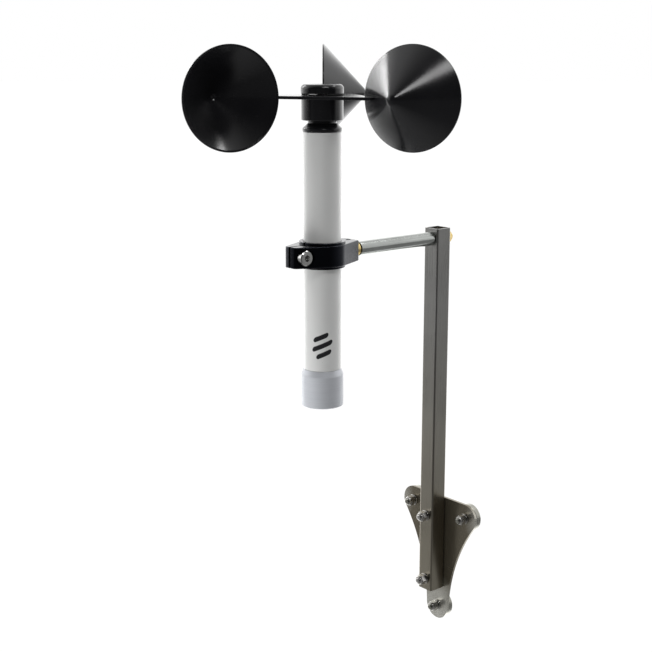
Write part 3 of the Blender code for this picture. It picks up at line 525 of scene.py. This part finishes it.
capShape = {"round": 0.0042, "wall": 0.0018, "dish": 0.0012}
capLow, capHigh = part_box("hub_cap")
capRadius = (capHigh.x - capLow.x) / 2
flat = capRadius - capShape["round"]
capHeight = capHigh.z - capLow.z
dishPoints = [(flat * t, capHeight - capShape["dish"] * (0.5 + 0.5 * cos(pi * t))) for t in
              (0.0, 0.15, 0.3, 0.45, 0.6, 0.75, 0.9)]
crown = arc(flat, capHeight - capShape["round"], capShape["round"], pi / 2, 0, 12)
hollow = arc(flat, capHeight - capShape["round"], capShape["round"] - capShape["wall"], 0, pi / 2, 6)
hubCap = lathe("hub_cap_dished", dishPoints + crown + [(capRadius, 0.0003), (capRadius - 0.0003, 0),
                                                       (capRadius - capShape["wall"], 0)] + hollow
               + [(0, capHeight - capShape["wall"] - capShape["dish"])],
               128, (0, tubeY, capLow.z))
dress(hubCap, mouldedBlack, "rotor", "black_plastic", "hub_cap")

gasketLow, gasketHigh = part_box("cap_gasket")
gasketRadius = (gasketHigh.x - gasketLow.x) / 2
gasketWidth = 0.0021
gasketHeight = gasketHigh.z - gasketLow.z
gasket = lathe("cap_gasket_round", [(gasketRadius, gasketHeight, 0.0003), (gasketRadius, 0, 0.0003),
                                    (gasketRadius - gasketWidth, 0, 0.0003),
                                    (gasketRadius - gasketWidth, gasketHeight, 0.0003)],
               96, (0, tubeY, gasketLow.z))
dress(gasket, sealRubber, "rotor", "rubber", "cap_gasket")

hubLow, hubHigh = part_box("rotor_hub")
hubShape = {"radius": (hubHigh.x - hubLow.x) / 2, "wall": 0.0028, "roof": 0.0040, "boss": 0.0062,
            "bore": 0.0033, "lift": 0.0111, "roofGap": 0.0010}
hubTop = hubHigh.z
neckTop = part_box("neck_housing")[1].z
hubBottom = tubeTop + hubShape["lift"]
hubRoof = max(neckTop + hubShape["roofGap"], hubTop - hubShape["roof"])
hub = lathe("rotor_hub_skirt", [
    (hubShape["bore"], hubTop, 0.0001), (hubShape["radius"], hubTop, 0.0005),
    (hubShape["radius"], hubBottom, 0.0009),
    (hubShape["radius"] - hubShape["wall"], hubBottom, 0.0005),
    (hubShape["radius"] - hubShape["wall"], hubRoof, 0.0006),
    (hubShape["boss"], hubRoof, 0.0004), (hubShape["boss"], hubLow.z, 0.0002),
    (hubShape["bore"], hubLow.z, 0.0001)],
    128, (0, tubeY, 0))
dress(hub, mouldedBlack, "rotor", "black_plastic", "rotor_hub")
print("rotor made")


# sensor body

tubeShape = {"wall": 0.0020, "edge": 0.0003}
neckShape = {"flare": tubeRadius + 0.0004, "flareEdge": 0.0035, "neckHeight": 0.0095, "neck": 0.0140,
             "boss": 0.0125, "bore": 0.0098, "seal": 0.0080, "sealDepth": 0.0014, "sealHalf": 0.0010,
             "clipDepth": 0.0010, "clipWidth": 0.0012, "raceStop": 0.0018}
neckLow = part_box("neck_housing")[0].z
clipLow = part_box("housing_circlip")[0].z
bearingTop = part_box("outer_race_upper")[1].z
plug = tubeRadius - tubeShape["wall"] - gap
sealZ = tubeTop - neckShape["seal"]
neck = lathe("neck_housing_flared", [
    (neckShape["boss"], neckTop, 0.0003),
    (neckShape["boss"], tubeTop + neckShape["neckHeight"] + 0.0005, 0.0002),
    (neckShape["neck"], tubeTop + neckShape["neckHeight"] + 0.0005, 0.0003),
    (neckShape["neck"], tubeTop + neckShape["neckHeight"] - 0.0010, 0.0012),
    (neckShape["flare"], tubeTop + neckShape["flareEdge"], 0.0012),
    (neckShape["flare"], tubeTop + 0.0012, 0.0006),
    (tubeRadius, tubeTop + gap, 0.0001), (plug, tubeTop + gap), (plug, sealZ + neckShape["sealHalf"], 0.0002),
    (plug - neckShape["sealDepth"], sealZ + neckShape["sealHalf"]),
    (plug - neckShape["sealDepth"], sealZ - neckShape["sealHalf"]),
    (plug, sealZ - neckShape["sealHalf"], 0.0002), (plug, neckLow, 0.0006),
    (neckShape["bore"], neckLow, 0.0004),
    (neckShape["bore"], clipLow - gap), (neckShape["bore"] + neckShape["clipDepth"], clipLow - gap),
    (neckShape["bore"] + neckShape["clipDepth"], clipLow + neckShape["clipWidth"]),
    (neckShape["bore"], clipLow + neckShape["clipWidth"]), (neckShape["bore"], bearingTop + gap),
    (neckShape["bore"] - neckShape["raceStop"], bearingTop + gap),
    (neckShape["bore"] - neckShape["raceStop"], neckTop, 0.0003)], 128, (0, tubeY, 0))
dress(neck, mouldedBlack, "sensor", "black_plastic", "neck_housing")

tube = lathe("body_tube_smooth", [
    (tubeRadius, tubeTop, tubeShape["edge"]), (tubeRadius, tubeTop - 0.02), (tubeRadius, tubeCentre.z),
    (tubeRadius, tubeLow + 0.02), (tubeRadius, tubeLow, tubeShape["edge"]),
    (tubeRadius - tubeShape["wall"], tubeLow, 0.0002), (tubeRadius - tubeShape["wall"], tubeTop, 0.0002)],
    160, (0, tubeY, 0))
dress(tube, enamelGrey, "sensor", "grey_plastic", "body_tube")

collarLow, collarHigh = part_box("end_collar")
collarShape = {"radius": (collarHigh.x - collarLow.x) / 2, "taper": 0.0060, "wall": 0.0030, "seat": 0.0106}
spigot = tubeRadius - tubeShape["wall"] - gap
collar = lathe("end_collar_turned", [
    (spigot, collarHigh.z, 0.0005), (spigot, tubeLow - gap), (tubeRadius, tubeLow - gap, 0.0002),
    (collarShape["radius"], tubeLow - collarShape["taper"], 0.0006),
    (collarShape["radius"], collarLow.z + 0.02), (collarShape["radius"], collarLow.z, 0.0012),
    (collarShape["radius"] - collarShape["wall"], collarLow.z, 0.0003),
    (collarShape["radius"] - collarShape["wall"], collarLow.z + collarShape["seat"]),
    (spigot - collarShape["wall"] / 2, collarLow.z + collarShape["seat"]),
    (spigot - collarShape["wall"] / 2, collarHigh.z, 0.0003)],
    160, (0, tubeY, 0))
dress(collar, turnedAluminium, "sensor", "aluminium", "end_collar")

lidLow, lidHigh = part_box("battery_cap")
lidShape = {"radius": (lidHigh.x - lidLow.x) / 2, "boss": 0.0129, "depth": 0.0096, "groove": 0.0046,
            "grooveHalf": 0.0010, "grooveDepth": 0.0016,
            "slotLength": 0.020, "slotWidth": 0.0024, "slotDepth": 0.0020}
lid = lathe("battery_cap_turned", [
    (0, lidHigh.z), (lidShape["boss"], lidHigh.z, 0.0005), (lidShape["boss"], lidLow.z + lidShape["depth"]),
    (lidShape["radius"], lidLow.z + lidShape["depth"], 0.0003),
    (lidShape["radius"], lidLow.z + lidShape["groove"] + lidShape["grooveHalf"], 0.0001),
    (lidShape["radius"] - lidShape["grooveDepth"], lidLow.z + lidShape["groove"] + lidShape["grooveHalf"]),
    (lidShape["radius"] - lidShape["grooveDepth"], lidLow.z + lidShape["groove"] - lidShape["grooveHalf"]),
    (lidShape["radius"], lidLow.z + lidShape["groove"] - lidShape["grooveHalf"], 0.0001),
    (lidShape["radius"], lidLow.z, 0.0006), (0, lidLow.z)],
    128, (0, tubeY, 0))
slotLoop = [(x + (lidShape["slotLength"] / 2 - lidShape["slotWidth"] / 2) * side, y)
            for side, start in ((1, -pi / 2), (-1, pi / 2))
            for x, y in arc(0, 0, lidShape["slotWidth"] / 2, start, start + pi, 12)]
combine(lid, flatPiece("coin_slot", [slotLoop], 2 * lidShape["slotDepth"], (0, tubeY, lidLow.z)))
dress(lid, turnedAluminium, "battery_door", "aluminium", "battery_cap")

sealWidth = 0.0012
for name, body in (("battery_cap_ring", "battery_door"), ("neck_ring", "sensor")):
    low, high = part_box(name)
    outer = (high.x - low.x) / 2
    seal = lathe(name + "_round", [(outer, high.z, 0.0005), (outer, low.z, 0.0005),
                                   (outer - sealWidth, low.z, 0.0005),
                                   (outer - sealWidth, high.z, 0.0005)], 96, (0, tubeY, 0))
    dress(seal, sealRubber, body, "rubber", name)

springShape = {"wire": 0.0006, "turns": 4, "perTurn": 28, "wide": 0.0100, "narrow": 0.0045}
springLow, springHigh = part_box("battery_spring")
count = springShape["turns"] * springShape["perTurn"]
coil = bpy.data.curves.new("battery_spring_coil", "CURVE")
coil.dimensions = "3D"
coil.bevel_depth = springShape["wire"]
coil.bevel_resolution = 3
coil.use_fill_caps = True
strand = coil.splines.new("POLY")
strand.points.add(count)
for i, point in enumerate(strand.points):
    share = i / count
    r = springShape["wide"] + (springShape["narrow"] - springShape["wide"]) * share
    angle = 2 * pi * i / springShape["perTurn"]
    height = springShape["wire"] + (springHigh.z - springLow.z - 2 * springShape["wire"]) * share
    point.co = (r * cos(angle), r * sin(angle), springLow.z + height, 1)
drawn = link("battery_spring_coil", coil, (0, tubeY, 0))
springMesh = bpy.data.meshes.new_from_object(drawn.evaluated_get(bpy.context.evaluated_depsgraph_get()))
bpy.data.objects.remove(drawn, do_unlink=True)
spring = link("battery_spring_coiled", springMesh, (0, tubeY, 0))
dress(spring, boltSteel, "battery_door", "stainless", "battery_spring")
print("sensor body made")


# clamp

clampShape = {"radius": tubeRadius + 0.006, "lip": tubeRadius + 0.0040, "lipHeight": 0.0025, "height": 0.021,
              "ear": tubeRadius + 0.0225, "earWidth": 0.015, "block": tubeRadius + 0.021, "blockWidth": 0.019,
              "slit": 0.0024, "screwAt": tubeRadius + 0.0125, "screwHole": 0.0043, "seat": 0.0081,
              "seatDepth": 0.0010, "studHole": 0.0043, "setScrewAt": tubeRadius + 0.015, "setHole": 0.0025,
              "edge": 0.0010, "corner": 0.0016}


def clampLoop():
    # ear and block run onto the ring along lines that only touch it
    def touch(x, y):
        away = acos(clampShape["radius"] / sqrt(x * x + y * y))
        return atan2(y, x) + (away if y < 0 else -away)
    ear, block, cut = clampShape["earWidth"] / 2, clampShape["blockWidth"] / 2, clampShape["corner"]
    ring = arc(0, 0, clampShape["radius"], touch(ear, -clampShape["ear"]),
               touch(block, clampShape["block"]), 40)
    earFlank = Vector(ring[0]) - Vector((ear, -clampShape["ear"]))
    start = Vector((ear, -clampShape["ear"])) + earFlank.normalized() * cut
    side = [(ear - cut, -clampShape["ear"]), tuple(start)] + ring + [(block, clampShape["block"])]
    return side + [(-x, y) for x, y in reversed(side)]


clampAt = (0, tubeY, armHeight)
clamp = soften(flatPiece("clamp_body_milled", [clampLoop()], clampShape["height"], clampAt),
               clampShape["edge"], 3, 40)
bore = tubeRadius + gap
top = clampShape["height"] / 2 + clampShape["lipHeight"]
clampLip = lathe("lip", [(0, top), (clampShape["lip"], top, 0.0007), (clampShape["lip"], -top, 0.0007),
                         (0, -top)], 128, clampAt)
combine(clamp, clampLip, "UNION")
seatAt = clampShape["earWidth"] / 2 - clampShape["seatDepth"]
combine(clamp, [
    lathe("bore", [(0, top + 0.001), (bore + 0.0015, top + 0.001), (bore, top - 0.0005), (bore, 0.0005 - top),
                   (bore + 0.0015, -top - 0.001), (0, -top - 0.001)], 128, clampAt),
    flatPiece("slit", [[(-clampShape["slit"] / 2, -clampShape["ear"] - 0.01),
                        (clampShape["slit"] / 2, -clampShape["ear"] - 0.01),
                        (clampShape["slit"] / 2, -tubeRadius + 0.002),
                        (-clampShape["slit"] / 2, -tubeRadius + 0.002)]],
              3 * clampShape["height"], clampAt),
    lathe("seat", [(0, 0.05), (clampShape["seat"], 0.05), (clampShape["seat"], seatAt, 0.0003), (0, seatAt)],
          96, (0, tubeY - clampShape["screwAt"], armHeight), alongX),
    lathe("screw_hole", [(0, 0.03), (clampShape["screwHole"], 0.03),
                         (clampShape["screwHole"], -clampShape["earWidth"] / 2 + 0.0003),
                         (clampShape["screwHole"] + 0.0010, -clampShape["earWidth"] / 2 - 0.0007),
                         (0, -clampShape["earWidth"] / 2 - 0.0007)],
          64, (0, tubeY - clampShape["screwAt"], armHeight), alongX),
    lathe("stud_hole", [(0, clampShape["block"] + 0.001),
                        (clampShape["studHole"] + 0.0013, clampShape["block"] + 0.001),
                        (clampShape["studHole"], clampShape["block"] - 0.0003),
                        (clampShape["studHole"], tubeRadius - 0.004), (0, tubeRadius - 0.004)],
          64, clampAt, alongY),
    lathe("set_hole", [(0, clampShape["height"] / 2 + 0.001),
                       (clampShape["setHole"] + 0.0013, clampShape["height"] / 2 + 0.001),
                       (clampShape["setHole"], clampShape["height"] / 2 - 0.0003),
                       (clampShape["setHole"], 0), (0, 0)],
          48, (0, tubeY + clampShape["setScrewAt"], armHeight))])
dress(clamp, blackAnodised, "clamp", "black_anodised", "clamp_body")

screwShape = {"head": 0.0075, "headHeight": 0.0080, "shank": 0.0040, "socket": 0.0060, "socketDepth": 0.0036,
              "teeth": 40, "toothDepth": 0.00006}
shank = clampShape["earWidth"] - clampShape["seatDepth"] - 0.001
screwAt = (seatAt + gap, tubeY - clampShape["screwAt"], armHeight)
screw = lathe("clamp_screw_socketed", [
    (0, screwShape["headHeight"]), (screwShape["head"] - 0.0009, screwShape["headHeight"], 0.0002),
    (screwShape["head"], screwShape["headHeight"] - 0.0008),
    (screwShape["head"], 0.0005), (screwShape["head"] - 0.0002, 0), (screwShape["shank"], 0)]
    + threadProfile(screwShape["shank"], -shank + 0.001, -0.0005, *bigThread)
    + [(screwShape["shank"] - 0.0006, -shank + 0.0007), (screwShape["shank"] - 0.0009, -shank), (0, -shank)],
    2 * screwShape["teeth"], screwAt, alongX)
for v in screw.data.vertices:   # knurl round the head
    r = Vector((v.co.x, v.co.y)).length
    if r > screwShape["head"] - 0.00005 and v.co.z > 0.0006:
        k = round(atan2(v.co.y, v.co.x) / (pi / screwShape["teeth"]))
        if k % 2:
            v.co.x *= 1 - screwShape["toothDepth"] / r
            v.co.y *= 1 - screwShape["toothDepth"] / r
combine(screw, flatPiece("socket", [hexagon(screwShape["socket"])], 2 * screwShape["socketDepth"],
                         (screwAt[0] + screwShape["headHeight"], screwAt[1], screwAt[2]), alongX))
dress(screw, turnedSteel, "clamp", "stainless", "clamp_screw")

setLow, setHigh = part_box("clamp_set_screw")
setRadius = (setHigh.y - setLow.y) / 2
setScrew = lathe("clamp_set_screw_socketed", [
    (0, setHigh.z), (setRadius, setHigh.z, 0.0003), (setRadius, setLow.z, 0.0004), (0, setLow.z)],
    48, (0, tubeY + clampShape["setScrewAt"], 0))
combine(setScrew, flatPiece("set_socket", [hexagon(0.002)], 0.003,
                            (0, tubeY + clampShape["setScrewAt"], setHigh.z)))
dress(setScrew, blackAnodised, "clamp", "black_anodised", "clamp_set_screw")
print("clamp made")


# arm

def tubeAlongY(name, node, inner, rounding, material, slot, steps=96):
    low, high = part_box(node)
    outer = (high.x - low.x) / 2
    piece = lathe(name, [(outer, high.y - low.y, rounding), (outer, 0, rounding), (inner, 0, rounding / 2),
                         (inner, high.y - low.y, rounding / 2)], steps, (0, low.y, armHeight), alongY)
    return dress(piece, material, "bracket", slot, node)


tubeAlongY("arm_sleeve_drawn", "arm_sleeve", 0.0050, 0.0004, drawnSteel, "stainless", 128)
tubeAlongY("arm_lock_nut_turned", "arm_lock_nut", 0.0043, 0.0006, yellowZinc, "yellow_zinc", 96)
tubeAlongY("arm_rear_washer_stamped", "arm_rear_washer", 0.0043, 0.0004, yellowZinc, "yellow_zinc", 96)


def hexNut(name, flats, height, bore, chamfer=0.0008, collar=None, steps=96):
    # hexagon with turned corners; collar is (radius, height) of a lock nut's round end
    nut = flatPiece(name, [hexagon(flats)], height, (0, 0, height / 2))
    nut.data.transform(Matrix.Translation((0, 0, height / 2)))
    nut.location = (0, 0, 0)
    corner = flats / 2 / cos(pi / 6)
    turnedBlank = lathe("blank", [
        (0, height), (flats / 2 - 0.0001, height), (corner + 0.0003, height - chamfer),
        (corner + 0.0003, chamfer), (flats / 2 - 0.0001, 0), (0, 0)], steps)
    combine(nut, turnedBlank, "INTERSECT")
    end = height
    if collar:
        end = height + collar[1]
        ring = lathe("collar", [(0, end), (collar[0], end, 0.0009), (collar[0], height / 2),
                                (0, height / 2)], steps)
        combine(nut, ring, "UNION")
    combine(nut, lathe("thread", [(0, end + 0.001), (bore + 0.0014, end + 0.001), (bore, end - 0.0004),
                                  (bore, 0.0004), (bore + 0.0014, -0.001), (0, -0.001)], 64))
    return nut


rearLow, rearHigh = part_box("arm_rear_nut")
rearNut = hexNut("arm_rear_nut_chamfered", 0.011, rearHigh.y - rearLow.y, 0.0043)
rearNut.location, rearNut.rotation_euler = (0, rearLow.y, armHeight), alongY
dress(rearNut, yellowZinc, "bracket", "yellow_zinc", "arm_rear_nut")

studLow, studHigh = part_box("arm_stud")
studRadius = (studHigh.x - studLow.x) / 2
studLength = studHigh.y - studLow.y
stud = lathe("arm_stud_threaded", [(0, studLength), (studRadius - 0.0009, studLength)]
             + threadProfile(studRadius, 0.001, studLength - 0.0006, *bigThread)
             + [(studRadius - 0.0007, 0.0006), (studRadius - 0.0010, 0), (0, 0)],
             48, (0, studLow.y, armHeight), alongY)
dress(stud, yellowZinc, "bracket", "yellow_zinc", "arm_stud")
print("arm made")


# bracket

postLow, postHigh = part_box("post")
postShape = {"width": postHigh.x - postLow.x, "wall": 0.0015, "corner": 0.0018, "cutEdge": 0.0002,
             "boltHole": 0.0033, "studHole": 0.0043}
postY = (postLow.y + postHigh.y) / 2
boltZ = {"lower": 0.0, "upper": 0.0}
for place in boltZ:
    low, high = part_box("post_washer_" + place)
    boltZ[place] = (low.z + high.z) / 2


def roundedSquare(width, corner, steps):
    inset = width / 2 - corner
    points = []
    for i, (sx, sy) in enumerate(((1, 1), (-1, 1), (-1, -1), (1, -1))):
        points += arc(sx * inset, sy * inset, corner, i * pi / 2, (i + 1) * pi / 2, steps)
    return points


post = flatPiece("post_tube", [roundedSquare(postShape["width"], postShape["corner"], 8),
                               roundedSquare(postShape["width"] - 2 * postShape["wall"],
                                             postShape["corner"] - postShape["wall"], 8)],
                 postHigh.z - postLow.z, (0, postY, (postLow.z + postHigh.z) / 2))
soften(post, postShape["cutEdge"], 2, 60)
for height, radius in ((boltZ["lower"], postShape["boltHole"]), (boltZ["upper"], postShape["boltHole"]),
                       (armHeight, postShape["studHole"])):
    combine(post, lathe("post_hole", [(0, 0.03), (radius, 0.03), (radius, -0.03), (0, -0.03)], 48,
                        (0, postY, height), alongY))
dress(post, brushedUp, "bracket", "stainless", "post")

feet = {}
for place in ("lower", "left", "right"):
    low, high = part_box("foot_washer_" + place)
    feet[place] = ((low.x + high.x) / 2, (low.z + high.z) / 2)
baseLow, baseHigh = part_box("base_plate")
baseShape = {"lobe": 0.016, "waist": 0.190, "hole": 0.0033, "edge": 0.0003}


def baseLoop():
    half, rise = feet["right"]
    lower, upper = Vector((0, 0)), Vector((half, rise))
    span = upper - lower
    side = Vector((span.y, -span.x)).normalized()
    depth = sqrt((baseShape["waist"] + baseShape["lobe"]) ** 2 - (span.length / 2) ** 2)
    centre = (upper + lower) / 2 + side * depth
    toLower = atan2(lower.y - centre.y, lower.x - centre.x) % (2 * pi)
    toUpper = atan2(upper.y - centre.y, upper.x - centre.x) % (2 * pi)
    right = arc(0, 0, baseShape["lobe"], -pi / 2, toLower - pi, 14)
    right += arc(centre.x, centre.y, baseShape["waist"], toLower, toUpper, 28)[1:]
    right += arc(half, rise, baseShape["lobe"], toUpper - pi, pi / 2, 24)[1:]
    return right + [(-x, y) for x, y in reversed(right[1:])]


plateHoles = [circle(baseShape["hole"], 40, x, z) for x, z in feet.values()]
plateHoles += [circle(baseShape["hole"], 40, 0, z) for z in boltZ.values()]
basePlate = flatPiece("base_plate_cut", [baseLoop()] + plateHoles, baseHigh.y - baseLow.y,
                      (0, (baseLow.y + baseHigh.y) / 2, 0), againstY)
dress(soften(basePlate, baseShape["edge"], 3, 50), plateSteel, "bracket", "stainless", "base_plate")

footShape = {"radius": 0.015, "depth": 0.007, "rim": 0.0018, "magnetDepth": 0.0045, "stud": 0.003}
recess = footShape["radius"] - footShape["rim"]
for place, (x, z) in feet.items():
    studEnd = -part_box("foot_pot_" + place)[0].y
    pot = lathe("foot_pot_%s_turned" % place, [(0, studEnd), (footShape["stud"] - 0.0008, studEnd)]
                + threadProfile(footShape["stud"], footShape["depth"] + 0.0002, studEnd - 0.0005,
                                *smallThread)
                + [(footShape["stud"] - 0.0004, footShape["depth"] + 0.0001),
                   (footShape["stud"], footShape["depth"]),
                   (footShape["radius"], footShape["depth"], 0.0014), (footShape["radius"], 0, 0.0004),
                   (recess, 0, 0.0003), (recess, footShape["magnetDepth"]), (0, footShape["magnetDepth"])],
                96, (x, 0, z), againstY)
    dress(pot, potSteel, "bracket", "stainless", "foot_pot_" + place)
    magnet = lathe("foot_magnet_%s_disc" % place, [
        (0, footShape["magnetDepth"] - gap), (recess - gap, footShape["magnetDepth"] - gap, 0.0003),
        (recess - gap, 0, 0.0004), (0, 0)], 96, (x, 0, z), againstY)
    dress(magnet, magnetPlate, "bracket", "magnet", "foot_magnet_" + place)

nutShape = {"flats": 0.010, "height": 0.0062, "collar": 0.0045, "collarHeight": 0.0022, "bore": 0.0033}
nutPlaces = [("foot", place, x, z) for place, (x, z) in feet.items()]
nutPlaces += [("post", place, 0.0, z) for place, z in boltZ.items()]
firstNut = hexNut("lock_nut", nutShape["flats"], nutShape["height"], nutShape["bore"], 0.0008,
                  (nutShape["collar"], nutShape["collarHeight"]))
for kind, place, x, z in nutPlaces:
    node = "%s_nut_%s" % (kind, place)
    low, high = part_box(node)
    nut = link(node + "_chamfered", firstNut.data.copy(), (x, high.y, z), againstY)
    dress(nut, boltSteel, "bracket", "stainless", node)
    node = "%s_washer_%s" % (kind, place)
    low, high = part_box(node)
    outer = (high.x - low.x) / 2
    washer = lathe(node + "_stamped", [
        (outer, high.y - low.y, 0.0004), (outer, 0, 0.0003), (nutShape["bore"], 0, 0.0002),
        (nutShape["bore"], high.y - low.y, 0.0003)], 96, (x, high.y, z), againstY)
    dress(washer, boltSteel, "bracket", "stainless", node)
bpy.data.objects.remove(firstNut, do_unlink=True)

boltShape = {"flats": 0.010, "head": 0.0040, "shank": 0.003}
for place, z in boltZ.items():
    low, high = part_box("post_bolt_" + place)
    length = high.y - low.y - boltShape["head"]
    bolt = hexNut("post_bolt_%s_threaded" % place, boltShape["flats"], boltShape["head"], 0.0012, 0.0007)
    bolt.data.transform(Matrix.Translation((0, 0, -boltShape["head"])))
    combine(bolt, lathe("shank", [(0, length), (boltShape["shank"] - 0.0008, length)]
                        + threadProfile(boltShape["shank"], length - 0.020, length - 0.0005, *smallThread)
                        + [(boltShape["shank"], length - 0.0205),
                           (boltShape["shank"], -boltShape["head"] + 0.0003),
                           (0, -boltShape["head"] + 0.0003)], 64), "UNION")
    bolt.location, bolt.rotation_euler = (0, high.y - boltShape["head"], z), againstY
    dress(bolt, boltSteel, "bracket", "stainless", "post_bolt_" + place)
print("bracket made")

# inner pieces keep the frame's shape and take a full finish
innerFinish = {
    "battery_cell_1": cellWrap, "battery_cell_2": cellWrap,
    "battery_sleeve": mouldedGrey, "board_carrier": mouldedGrey,
    "circuit_board": boardGreen, "contact_disc": yellowZinc, "pickup_sensor": mouldedBlack,
    "housing_circlip": boltSteel, "outer_race_lower": turnedSteel, "outer_race_upper": turnedSteel,
    "inner_race_lower": turnedSteel, "inner_race_upper": turnedSteel, "race_spacer": turnedAluminium,
    "shaft_sleeve": turnedAluminium, "rotor_shaft": turnedSteel, "shaft_circlip": boltSteel,
    "shaft_nut": boltSteel, "signal_magnet": magnetPlate}
for node, material in innerFinish.items():
    mesh = frame["nodes"][node].data
    mesh.materials.clear()
    mesh.materials.append(material)
print("inner pieces finished:", len(innerFinish))


# studio

cameraAt = Vector((0.9495, -0.9822, 0.6291))
lookAlong = Vector((-0.7445, 0.6312, -0.2176))
eye = bpy.data.cameras.new("camera")
eye.lens = 70
eye.sensor_width = 36
camera = bpy.data.objects.new("camera", eye)
bpy.context.scene.collection.objects.link(camera)
camera.location = cameraAt
camera.rotation_euler = lookAlong.to_track_quat("-Z", "Y").to_euler()
bpy.context.scene.camera = camera

studio = {   # glow of the floor and the walls; "turns" are how far a direction points to the back, -1 to 1
    "floorAt": -0.55, "floorRadius": 40, "nearBack": 2.0, "nearFront": 0.30, "farSide": 0.26,
    "farFront": 0.05,
    "nearFrom": 0.4, "nearTo": 1.5, "sideTurns": (-0.8, -0.1), "backTurns": (0.22, 0.60),
    "back": 1.75, "front": 0.02, "wallTurns": (-0.45, 0.20), "roof": 0.45, "roofHeights": (0.35, 0.75)}
backward = Vector((lookAlong.x, lookAlong.y, 0)).normalized()


def facing(tree, vector):
    # how far a direction points away from the viewer's side, -1 to 1
    unit = tree.nodes.new("ShaderNodeVectorMath")
    unit.operation = "NORMALIZE"
    tree.links.new(vector, unit.inputs[0])
    dot = tree.nodes.new("ShaderNodeVectorMath")
    dot.operation = "DOT_PRODUCT"
    dot.inputs[1].default_value = backward
    tree.links.new(unit.outputs["Vector"], dot.inputs[0])
    return dot.outputs["Value"]


def blend(tree, factor, low, high):
    # plain numbers or sockets
    mix = tree.nodes.new("ShaderNodeMix")
    tree.links.new(factor, mix.inputs["Factor"])
    for socket, value in ((mix.inputs["A"], low), (mix.inputs["B"], high)):
        if isinstance(value, (int, float)):
            socket.default_value = value
        else:
            tree.links.new(value, socket)
    return mix.outputs["Result"]


floorMesh = bpy.data.meshes.new("floor")
bm = bmesh.new()
bmesh.ops.create_circle(bm, cap_ends=True, segments=96, radius=studio["floorRadius"])
bm.to_mesh(floorMesh)
bm.free()
floor = link("floor", floorMesh, (0, 0, studio["floorAt"]))
floorFinish = bpy.data.materials.new("paleFloor")
floorFinish.use_nodes = True
tree = floorFinish.node_tree
floorShader = tree.nodes["Principled BSDF"]
floorShader.inputs["Base Color"].default_value = (0.05, 0.05, 0.05, 1)
floorShader.inputs["Roughness"].default_value = 0.9
floorShader.inputs["Specular IOR Level"].default_value = 0
floorShader.inputs["Emission Color"].default_value = (1, 1, 1, 1)
spot = tree.nodes.new("ShaderNodeTexCoord").outputs["Object"]   # metres from the floor's middle
side = facing(tree, spot)
length = tree.nodes.new("ShaderNodeVectorMath")
length.operation = "LENGTH"
tree.links.new(spot, length.inputs[0])
nearness = spread(tree, length.outputs["Value"], studio["nearFrom"], studio["nearTo"], 1, 0)
frontGlow = blend(tree, nearness, studio["farFront"], studio["nearFront"])
sideGlow = blend(tree, spread(tree, side, *studio["sideTurns"], 0, 1), frontGlow, studio["farSide"])
floorGlow = blend(tree, spread(tree, side, *studio["backTurns"], 0, 1), sideGlow, studio["nearBack"])
floorRay = tree.nodes.new("ShaderNodeLightPath")
tree.links.new(blend(tree, floorRay.outputs["Is Camera Ray"], floorGlow, 1.0),
               floorShader.inputs["Emission Strength"])
floorMesh.materials.append(floorFinish)

world = bpy.data.worlds.new("studio")
bpy.context.scene.world = world
world.use_nodes = True
tree = world.node_tree
direction = tree.nodes.new("ShaderNodeTexCoord").outputs["Generated"]
wall = spread(tree, facing(tree, direction), *studio["wallTurns"], studio["front"], studio["back"])
roof = spread(tree, split(tree, direction)[2], *studio["roofHeights"], 1.0, studio["roof"])
level = maths(tree, "MULTIPLY", wall, roof)
worldRay = tree.nodes.new("ShaderNodeLightPath")
tree.links.new(blend(tree, worldRay.outputs["Is Camera Ray"], level, 1.0),
               tree.nodes["Background"].inputs["Strength"])
tree.nodes["Background"].inputs["Color"].default_value = (1, 1, 1, 1)

lampsAt = {   # azimuth and height in degrees, distance, size and power; soft ones leave no highlight
    "overCamera": {"azimuth": -18, "height": 50, "away": 2.2, "size": (0.9, 0.5), "power": 11},
    "leftStrip": {"azimuth": -174, "height": 27, "away": 2.0, "size": (0.07, 0.8), "power": 5},
    "behindRight": {"azimuth": 70, "height": 55, "away": 2.4, "size": (0.6, 0.3), "power": 7},
    "softFront": {"azimuth": -50, "height": 0, "away": 2.6, "size": (1.6, 1.6), "power": 9, "soft": True},
    "softLow": {"azimuth": -100, "height": -42, "away": 0.55, "size": (0.4, 0.4), "power": 1.7, "soft": True}}
aim = Vector((0, tubeY, 0.42))
for name, lamp in lampsAt.items():
    light = bpy.data.lights.new(name, "AREA")
    light.shape = "RECTANGLE"
    light.size, light.size_y = lamp["size"]
    light.energy = lamp["power"]
    ob = bpy.data.objects.new(name, light)
    bpy.context.scene.collection.objects.link(ob)
    azimuth, height = radians(lamp["azimuth"]), radians(lamp["height"])
    away = Vector((cos(height) * cos(azimuth), cos(height) * sin(azimuth), sin(height)))
    ob.location = aim + away * lamp["away"]
    ob.rotation_euler = (-away).to_track_quat("-Z", "Y").to_euler()
    ob.visible_camera = False
    ob.visible_glossy = not lamp.get("soft", False)
bpy.context.scene.view_settings.view_transform = "Standard"
print("studio set")

bpy.context.view_layer.update()
